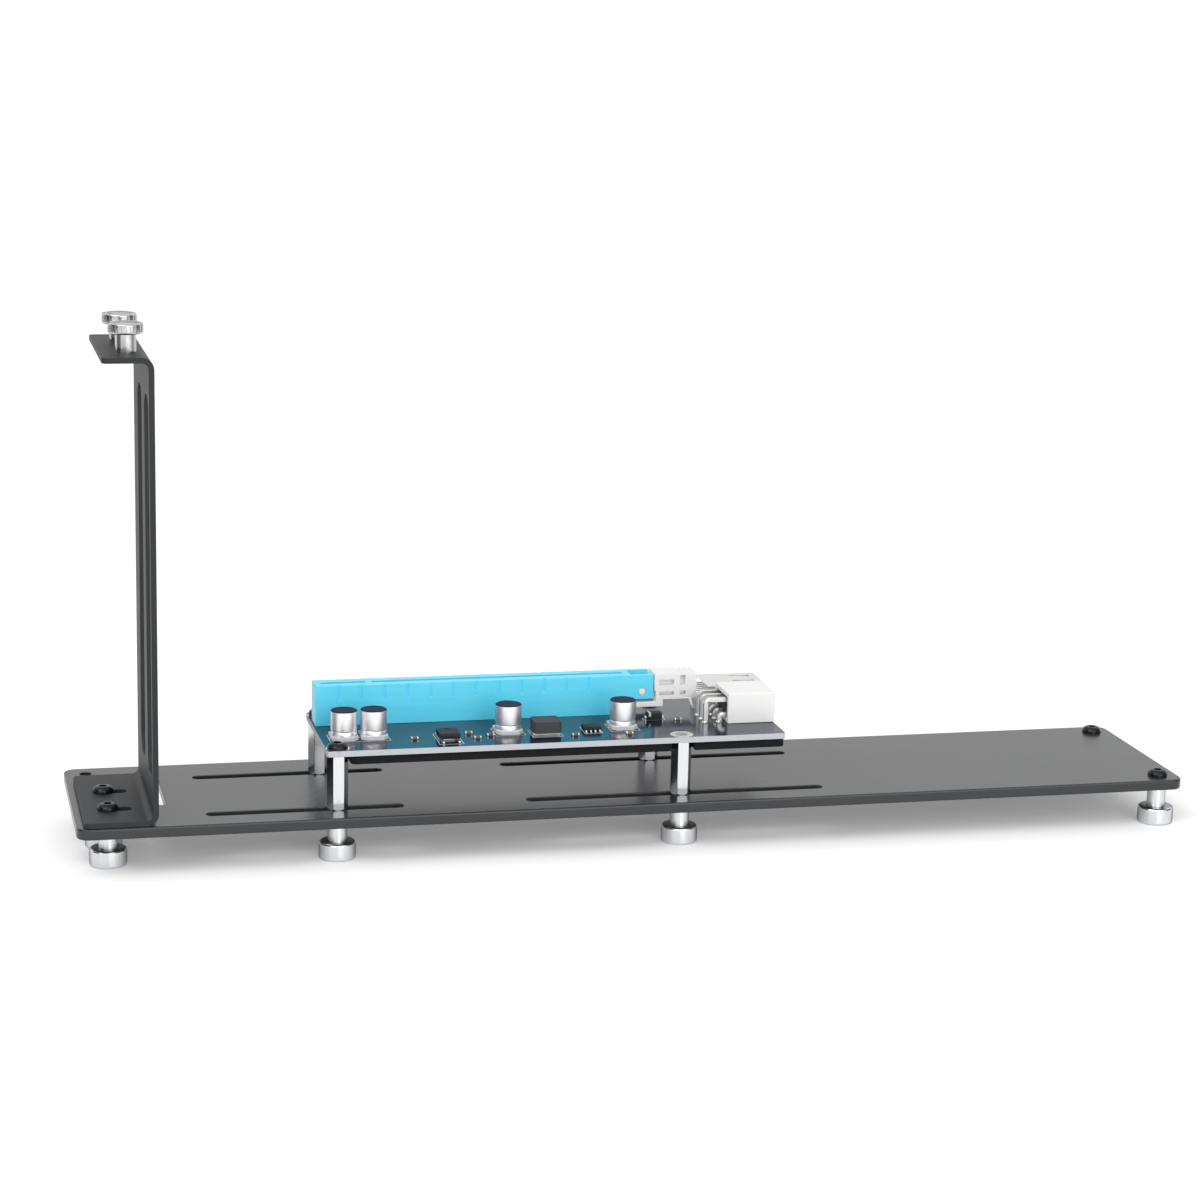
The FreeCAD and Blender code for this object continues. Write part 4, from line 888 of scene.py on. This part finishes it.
def driverLeads():
    low, high = boxOf("driver_chip_leads")
    chipLow = boxOf("driver_chip")[0]
    x, y = (low[0] + high[0]) / 2, (low[1] + high[1]) / 2
    reach = y - low[1]
    half = wing["width"] / 2
    master = addBlock("lead", (-half, -reach, boardTop),
                      (half, -reach + wing["foot"], boardTop + wing["thickness"]))
    pick(master, "FACE", lambda c, n: n.y > 0.99)
    pullOut(0, wing["slope"], wing["rise"])
    pullOut(0, chipLow[1] - low[1] - wing["foot"] - wing["gap"], 0)
    closeEdit()
    softenEdges(master, wing["edge"])
    leads = []
    for turn in (0, 180):
        for step in range(wing["count"]):
            place = x + (step - (wing["count"] - 1) / 2) * wing["pitch"]
            leads.append(copyPiece(master, "lead", (place, y, 0), turn))
    bpy.data.objects.remove(master)
    finishPiece(joinPieces("driverLeads", leads), ["driver_chip_leads"])


# small chips: ceramic brick with plated ends
chip = {"length": 2.0, "width": 1.2, "height": 0.7, "end": 0.36, "glazeEdge": 0.04, "glaze": 0.03,
        "edge": 0.06}


def chipSet():
    half = chip["length"] / 2
    master = addBlock("chip", (-half, -chip["width"] / 2, 0), (half, chip["width"] / 2, chip["height"]))
    score(master, "x", [-half + chip["end"], half - chip["end"]])
    pick(master, "FACE", lambda c, n: abs(c.x) < half - chip["end"] and n.z > 0.99)
    bpy.ops.mesh.inset(thickness=chip["glazeEdge"] * mm, depth=chip["glaze"] * mm)
    closeEdit()
    softenEdges(master, chip["edge"])
    # the node's mesh is one brick per place, twelve triangles each
    faces = [face.center / mm for face in nodes["chip_resistors"].data.polygons]
    spots = []
    for start in range(0, len(faces), 12):
        across, along = zip(*((c.x, c.y) for c in faces[start:start + 12]))
        spots.append(((min(across) + max(across)) / 2, (min(along) + max(along)) / 2))
    copies = [copyPiece(master, "chip", (x, y, boardTop)) for x, y in spots]
    bpy.data.objects.remove(master)
    piece = joinPieces("chipSet", copies)

    def onEnd(c, n):
        off = min(abs(c.x - x) for x, y in spots if abs(c.y - y) < chip["width"])
        return off > half - chip["end"] - 0.01

    paintFaces(piece, 1, onEnd)
    finishPiece(piece, ["chip_resistors"], [chipCeramic, finishes["tinned_metal"]])


powerCoil()
mouldedPackage("voltage_regulator", "voltageRegulator", 0.95, mark=(2.9, 4.6, 0.8))
softCopy("voltage_regulator_leads", "voltageRegulatorLeads", package["leadEdge"])
mouldedPackage("driver_chip", "driverChip", 0.94, mark=(0.8, 0.9, 0.35))
driverLeads()
mouldedPackage("diode", "diode", 0.93, band=(0.5, 1.1))
softCopy("diode_leads", "diodeLeads", package["leadEdge"])
chipSet()
print("board components built")


# receptacle: folded shell with round corners, spring windows and tabs, lined back and a contact tongue
port = {"corner": 0.8, "wall": 0.4, "depth": 12.0, "rearOpen": 4.5, "liner": 0.1, "edge": 0.06,
        "windowLength": 6.2, "windowWidth": 2.3, "windowEdge": 2.2, "windowOff": 2.9,
        "tabThickness": 0.22, "tabSide": 0.32, "tabRoot": 0.3, "tabTip": 0.5, "tabBend": 2.2, "tabDip": 1.2,
        "dip": 0.35}


def portShell():
    low, high = boxOf("port_shell")
    middle = [(a + b) / 2 for a, b in zip(low, high)]
    piece = addBlock("portShell", low, high)
    pick(piece, "EDGE", lambda a, b: abs(a.x - b.x) > 1 and a.z > middle[2])
    bpy.ops.mesh.bevel(offset=port["corner"] * mm, segments=5, profile=0.5)
    closeEdit()
    pick(piece, "FACE", lambda c, n: n.x > 0.99)
    bpy.ops.mesh.inset(thickness=port["wall"] * mm)
    pullOut(-port["depth"], 0, 0)
    closeEdit()
    # behind the back wall only the top sheet runs on, and the insulator shows
    back = low[0] + port["rearOpen"]
    under = high[2] - port["wall"]
    cutAway(piece, addBlock("rearCut", (low[0] - 1, low[1] - 1, low[2] - 1), (back, high[1] + 1, under)))
    pick(piece, "FACE", lambda c, n: n.x < -0.99 and abs(c.x - back) < 0.05)
    bpy.ops.mesh.inset(thickness=port["wall"] * mm, depth=-port["liner"] * mm)
    closeEdit()
    paintFaces(piece, 1, lambda c, n: n.x < -0.99 and abs(c.x - back - port["liner"]) < 0.05)
    paintFaces(piece, 1, lambda c, n: n.x > 0.99 and c.x < high[0] - 2)
    end = high[0] - port["windowEdge"]
    start = end - port["windowLength"]
    half = port["windowWidth"] / 2
    inside = half - port["tabSide"]
    tabs = []
    for y in (middle[1] - port["windowOff"], middle[1] + port["windowOff"]):
        cutAway(piece,
                addBlock("springWindow", (start, y - half, high[2] - 1.0), (end, y + half, high[2] + 1)))
        tab = addBlock("springTab", (start - port["tabRoot"], y - inside, under),
                       (end - port["tabTip"], y + inside, under + port["tabThickness"]))
        score(tab, "x", [end - port["tabBend"], end - port["tabDip"]])
        pick(tab, "VERT", lambda p: abs(p.x - (end - port["tabDip"])) < 0.05)
        bpy.ops.transform.translate(value=(0, 0, -port["dip"] * mm))
        closeEdit()
        tabs.append(tab)
    piece = joinPieces("portShell", [piece] + tabs)
    softenEdges(piece, port["edge"], 2, 45)
    finishPiece(piece, ["port_shell"], [finishes["port_steel"], finishes["port_blue_plastic"]])


# contact tongue: moulded blade with a stepped nose and gilt strips along its underside
tongue = {"noseEdge": 0.25, "nose": 0.2, "edge": 0.12, "strip": 0.5, "stripLength": 5.2, "stripInset": 0.7,
          "stripSunk": 0.1, "stripProud": 0.05, "stripEdge": 0.03, "margin": 0.8, "count": 9}


def portTongue():
    low, high = boxOf("port_tongue")
    piece = addBlock("portTongue", low, high)
    pick(piece, "FACE", lambda c, n: n.x > 0.99)
    bpy.ops.mesh.inset(thickness=tongue["noseEdge"] * mm, depth=tongue["nose"] * mm)
    closeEdit()
    softenEdges(piece, tongue["edge"])
    strips = []
    half, end = tongue["strip"] / 2, high[0] - tongue["stripInset"]
    pitch = (high[1] - low[1] - 2 * tongue["margin"]) / (tongue["count"] - 1)
    for step in range(tongue["count"]):
        y = low[1] + tongue["margin"] + pitch * step
        strip = addBlock("strip", (end - tongue["stripLength"], y - half, low[2] - tongue["stripProud"]),
                         (end, y + half, low[2] + tongue["stripSunk"]))
        softenEdges(strip, tongue["stripEdge"])
        paintFaces(strip, 1, lambda c, n: True)
        strips.append(strip)
    piece = joinPieces("portTongue", [piece] + strips)
    finishPiece(piece, ["port_tongue"], [finishes["port_blue_plastic"], finishes["gold_contacts"]])


# a pin that rises from the board at zero, bends over, runs along X and ends in a blunt point
pinEnd = {"blunt": 0.55, "edge": 0.05}
solder = {"reach": 0.45, "foot": 0.06, "step": 0.2, "rises": (0.12, 0.35), "sides": 20}


def bentPin(width, thickness, bend, knee, length):
    half = width / 2
    piece = addBlock("pin", (0, -half, boardTop), (thickness, half, knee - thickness - bend))
    pick(piece, "FACE", lambda c, n: n.z > 0.99)
    hub = ((thickness + bend) * mm, 0, (knee - thickness - bend) * mm)
    bpy.ops.mesh.spin(steps=5, angle=math.radians(-90), center=hub, axis=(0, 1, 0))
    pullOut(length - thickness - bend, 0, 0)
    pullOut(thickness, 0, 0)
    bpy.ops.transform.resize(value=(1, pinEnd["blunt"], pinEnd["blunt"]),
                             center_override=(length * mm, 0, (knee - thickness / 2) * mm))
    bpy.ops.mesh.select_all(action="SELECT")
    bpy.ops.mesh.normals_make_consistent(inside=False)
    closeEdit()
    # cone of solder round its foot
    reach, foot = half + solder["reach"], boardTop + solder["foot"]
    pad = addDrum("solder", thickness / 2, 0, boardTop, foot, reach, solder["sides"])
    pick(pad, "FACE", lambda c, n: n.z > 0.99)
    for rise in solder["rises"]:
        bpy.ops.mesh.inset(thickness=solder["step"] * mm, depth=rise * mm)
    closeEdit()
    piece = joinPieces("pin", [piece, pad])
    softenEdges(piece, pinEnd["edge"], 2, 50)
    return piece


# contact legs behind the shell: out under the top sheet, bent down and soldered
leg = {"width": 0.8, "thickness": 0.3, "bend": 0.5, "topGap": 1.8, "endGap": 1.5, "pitch": 2.2,
       "step": 0.35, "count": 5}


def portLegs():
    low, high = boxOf("port_legs")
    back = boxOf("port_shell")[0][0] + port["rearOpen"]
    knee = boxOf("port_shell")[1][2] - leg["topGap"]
    master = bentPin(leg["width"], leg["thickness"], leg["bend"], knee, back - low[0] - leg["endGap"])
    copies = []
    for step in range(leg["count"]):
        y = (low[1] + high[1]) / 2 + leg["pitch"] * (step - (leg["count"] - 1) / 2)
        copies.append(copyPiece(master, "leg", (low[0] + leg["step"] * step, y, 0)))
    bpy.data.objects.remove(master)
    finishPiece(joinPieces("portLegs", copies), ["port_legs"])


# power header: moulded block with six polarised cells, a back recess painted black as painted shade, and
# square pins bent down
header = {"pitch": 4.2, "cell": 3.3, "cellDepth": 9.0, "cellCorner": 0.8, "edge": 0.25,
          "backPanel": 1.0, "backWall": 0.1, "backDepth": 0.35,
          "pin": 1.2, "bend": 0.5, "pinInset": 3.0, "lowerReach": 2.4}


def powerHeader():
    low, high = boxOf("power_header")
    middle = [(a + b) / 2 for a, b in zip(low, high)]
    piece = addBlock("powerHeader", low, high)
    softenEdges(piece, header["edge"], 3)
    half = header["cell"] / 2
    cell = addBlock("cell", (high[0] - header["cellDepth"], -half, -half), (high[0] + 1, half, half))
    cut = copyPiece(cell, "cutCell", (0, 0, 0))
    pick(cut, "EDGE", lambda a, b: abs(a.x - b.x) > 1 and a.z > 0)
    bpy.ops.mesh.bevel(offset=header["cellCorner"] * mm, segments=1)
    closeEdit()
    tools = []
    for row in (-0.5, 0.5):
        for column in (-1, 0, 1):
            form = cut if (column == 0) == (row > 0) else cell
            y, z = middle[1] + header["pitch"] * column, middle[2] + header["pitch"] * row
            tools.append(copyPiece(form, "cell", (0, y, z)))
    bpy.data.objects.remove(cell)
    bpy.data.objects.remove(cut)
    cutAway(piece, joinPieces("cells", tools))
    pick(piece, "FACE", lambda c, n: n.x < -0.99 and c.x < low[0] + 0.01)
    bpy.ops.mesh.inset(thickness=header["backPanel"] * mm)
    bpy.ops.mesh.inset(thickness=header["backWall"] * mm, depth=-header["backDepth"] * mm)
    closeEdit()
    # black on the recess floor is painted shade between the pins and the block, the block itself is white
    paintFaces(piece, 1, lambda c, n: n.x < -0.99 and abs(c.x - low[0] - header["backDepth"]) < 0.05)
    finishPiece(piece, ["power_header"], [finishes["white_plastic"], finishes["package_black"]])
    # the lower row stands close behind the block, the upper row at the back
    pins = []
    for row, start in ((-0.5, low[0] - header["lowerReach"]), (0.5, boxOf("power_header_pins")[0][0])):
        knee = middle[2] + header["pitch"] * row + header["pin"] / 2
        length = high[0] - header["pinInset"] - header["pin"] - start
        master = bentPin(header["pin"], header["pin"], header["bend"], knee, length)
        for column in (-1, 0, 1):
            pins.append(copyPiece(master, "pin", (start, middle[1] + header["pitch"] * column, 0)))
        bpy.data.objects.remove(master)
    finishPiece(joinPieces("powerHeaderPins", pins), ["power_header_pins"])


portLegs()
portShell()
portTongue()
powerHeader()
print("receptacle and power header built")


# bare plated rings round the board's four holes, top and bottom
ring = {"outer": 6.4, "hole": 3.3, "thickness": 0.04}


def holeRings():
    rings = []
    for x, y in posts.values():
        for level in (boardTop, boxOf("riser_board")[0][2] - ring["thickness"]):
            piece = addDrum("ring", x, y, level, level + ring["thickness"], ring["outer"] / 2, 48)
            for up in (1, -1):
                pick(piece, "FACE", lambda c, n: n.z * up > 0.99)
                bpy.ops.mesh.inset(thickness=(ring["outer"] - ring["hole"]) / 2 * mm)
                bpy.ops.mesh.delete(type="FACE")
                closeEdit()
            middle, holeEdge = Vector((x, y)), ring["hole"] / 2 + 0.02
            pick(piece, "EDGE", lambda a, b: max((a.xy - middle).length, (b.xy - middle).length) < holeEdge)
            bpy.ops.mesh.bridge_edge_loops()
            bpy.ops.mesh.select_all(action="SELECT")
            bpy.ops.mesh.normals_make_consistent(inside=False)
            closeEdit()
            rings.append(piece)
    finishPiece(joinPieces("holeRings", rings), [], rides="riser_board", slot="tinned_metal")


# printed outlines round the parts: plain frames, no lettering
legend = {"line": 0.16, "thickness": 0.012, "gap": 0.45}


def legendFrames():
    frames = []
    places = ["capacitor_base_" + which for which in canNames]
    places += ["power_coil", "voltage_regulator_leads", "driver_chip_leads", "diode_leads"]
    for node in places:
        low, high = boxOf(node)
        gap = legend["gap"]
        piece = addBlock("frame", (low[0] - gap, low[1] - gap, boardTop),
                         (high[0] + gap, high[1] + gap, boardTop + legend["thickness"]))
        pick(piece, "FACE", lambda c, n: abs(n.z) > 0.99)
        bpy.ops.mesh.inset(thickness=legend["line"] * mm, use_individual=True)
        bpy.ops.mesh.delete(type="FACE")
        closeEdit()
        pick(piece, "EDGE", lambda a, b: False)
        bpy.ops.mesh.select_non_manifold()
        bpy.ops.mesh.bridge_edge_loops()
        closeEdit()
        frames.append(piece)
    finishPiece(joinPieces("legendFrames", frames), [], [legendInk], rides="riser_board",
                slot="white_plastic")


holeRings()
legendFrames()
print("board rings and printed frames laid")


# pale floor, white world, two soft boxes, and dark cards off to the sides that only metal sees, in metres
studio = {"floorSize": 60.0, "floorDrop": 0.00002, "floor": "#f4f4f4", "floorLift": (0.18, 0.32),
          "liftSpan": (0.3, 1.5), "ambient": 0.8, "aim": (0, 0, 0.04),
          "card": "#2a2a2c", "cardSize": 0.6, "cardStretch": 1.2}
# place and turn of each card, then place, size and power of each lamp
cards = {"leftCard": ((-0.8, -0.15, 0.25), 80), "rightCard": ((0.8, -0.3, 0.25), -70)}
lamps = {"keySoftBox": ((-0.7, -0.7, 1.1), 0.9, 8.0), "frontSoftBox": ((0.25, -1.15, 0.42), 0.8, 4.0)}


# one for rays from the camera, from gloss and through glass, otherwise zero
def seenRays(tree):
    path = addNode(tree, "ShaderNodeLightPath").outputs
    direct = addNode(tree, "ShaderNodeMath", {"operation": "MAXIMUM"},
                     {0: path["Is Camera Ray"], 1: path["Is Glossy Ray"]})
    clear = addNode(tree, "ShaderNodeMath", {"operation": "MAXIMUM"},
                    {0: direct.outputs[0], 1: path["Is Transmission Ray"]})
    return clear.outputs[0]


def layFloor():
    clearPick()
    bpy.ops.mesh.primitive_plane_add(size=studio["floorSize"], location=(0, 0, -studio["floorDrop"]))
    floor = bpy.context.object
    floor.name = "studioFloor"
    # matt paper sweep, lit harder away from the object, so the far paper stays white
    paper = {"Base Color": hexColour(studio["floor"]), "Roughness": 0.9, "Specular IOR Level": 0.1,
             "Emission Color": (1, 1, 1, 1)}
    material, tree, shader, place = startMaterial("paperSweep", paper)
    away = addNode(tree, "ShaderNodeVectorMath", {"operation": "LENGTH"}, {0: place})
    (near, far), (least, most) = studio["liftSpan"], studio["floorLift"]
    lift = addNode(tree, "ShaderNodeMapRange",
                   {"From Min": near, "From Max": far, "To Min": least, "To Max": most},
                   {"Value": away.outputs["Value"]})
    seen = addNode(tree, "ShaderNodeMath", {"operation": "MULTIPLY"},
                   {0: seenRays(tree), 1: lift.outputs["Result"]})
    tree.links.new(seen.outputs[0], shader.inputs["Emission Strength"])
    floor.data.materials.append(material)


def hangCards():
    material = startMaterial("darkCard", {"Base Color": hexColour(studio["card"]), "Roughness": 0.9})[0]
    for name, (place, turn) in cards.items():
        tilt = (math.radians(90), 0, math.radians(turn))
        bpy.ops.mesh.primitive_plane_add(size=studio["cardSize"], location=place, rotation=tilt)
        card = bpy.context.object
        card.name = name
        card.scale = (studio["cardStretch"], 1, 1)
        card.visible_camera = False
        card.visible_diffuse = False
        card.visible_shadow = False
        card.data.materials.append(material)


def lightStudio():
    world = bpy.data.worlds.new("whiteStudio")
    bpy.context.scene.world = world
    world.use_nodes = True
    tree = world.node_tree
    sky = tree.nodes["Background"]
    sky.inputs["Color"].default_value = (1, 1, 1, 1)
    level = addNode(tree, "ShaderNodeMapRange", {"To Min": studio["ambient"], "To Max": 1.0},
                    {"Value": seenRays(tree)})
    tree.links.new(level.outputs["Result"], sky.inputs["Strength"])
    for name, (place, size, power) in lamps.items():
        bpy.ops.object.light_add(type="AREA", location=place)
        lamp = bpy.context.object
        lamp.name = name
        lamp.data.size = size
        lamp.data.energy = power
        lamp.rotation_euler = (Vector(studio["aim"]) - Vector(place)).to_track_quat("-Z", "Y").to_euler()


# camera solved from the photograph: place in millimetres, turn, tilt and roll in degrees
shot = {"place": (-199.31, -780.69, 240.2), "turn": 13.67, "tilt": 12.36, "roll": 1.27, "lens": 89.19}


def buildCamera():
    turn, tilt, roll = (math.radians(shot[key]) for key in ("turn", "tilt", "roll"))
    right = Vector((math.cos(turn), -math.sin(turn), 0))
    ahead = Vector((math.sin(turn) * math.cos(tilt), math.cos(turn) * math.cos(tilt), -math.sin(tilt)))
    up = right.cross(ahead)
    rolledRight = right * math.cos(roll) + up * math.sin(roll)
    rolledUp = up * math.cos(roll) - right * math.sin(roll)
    bpy.ops.object.camera_add(location=Vector(shot["place"]) * mm)
    camera = bpy.context.object
    camera.name = "photoCamera"
    camera.data.sensor_width = 36.0
    camera.data.lens = shot["lens"]
    camera.data.clip_end = 200.0
    camera.rotation_euler = Matrix((rolledRight, rolledUp, -ahead)).transposed().to_euler()
    bpy.context.scene.camera = camera


layFloor()
hangCards()
lightStudio()
buildCamera()
bpy.context.scene.view_settings.view_transform = "Standard"
print("studio and camera ready")
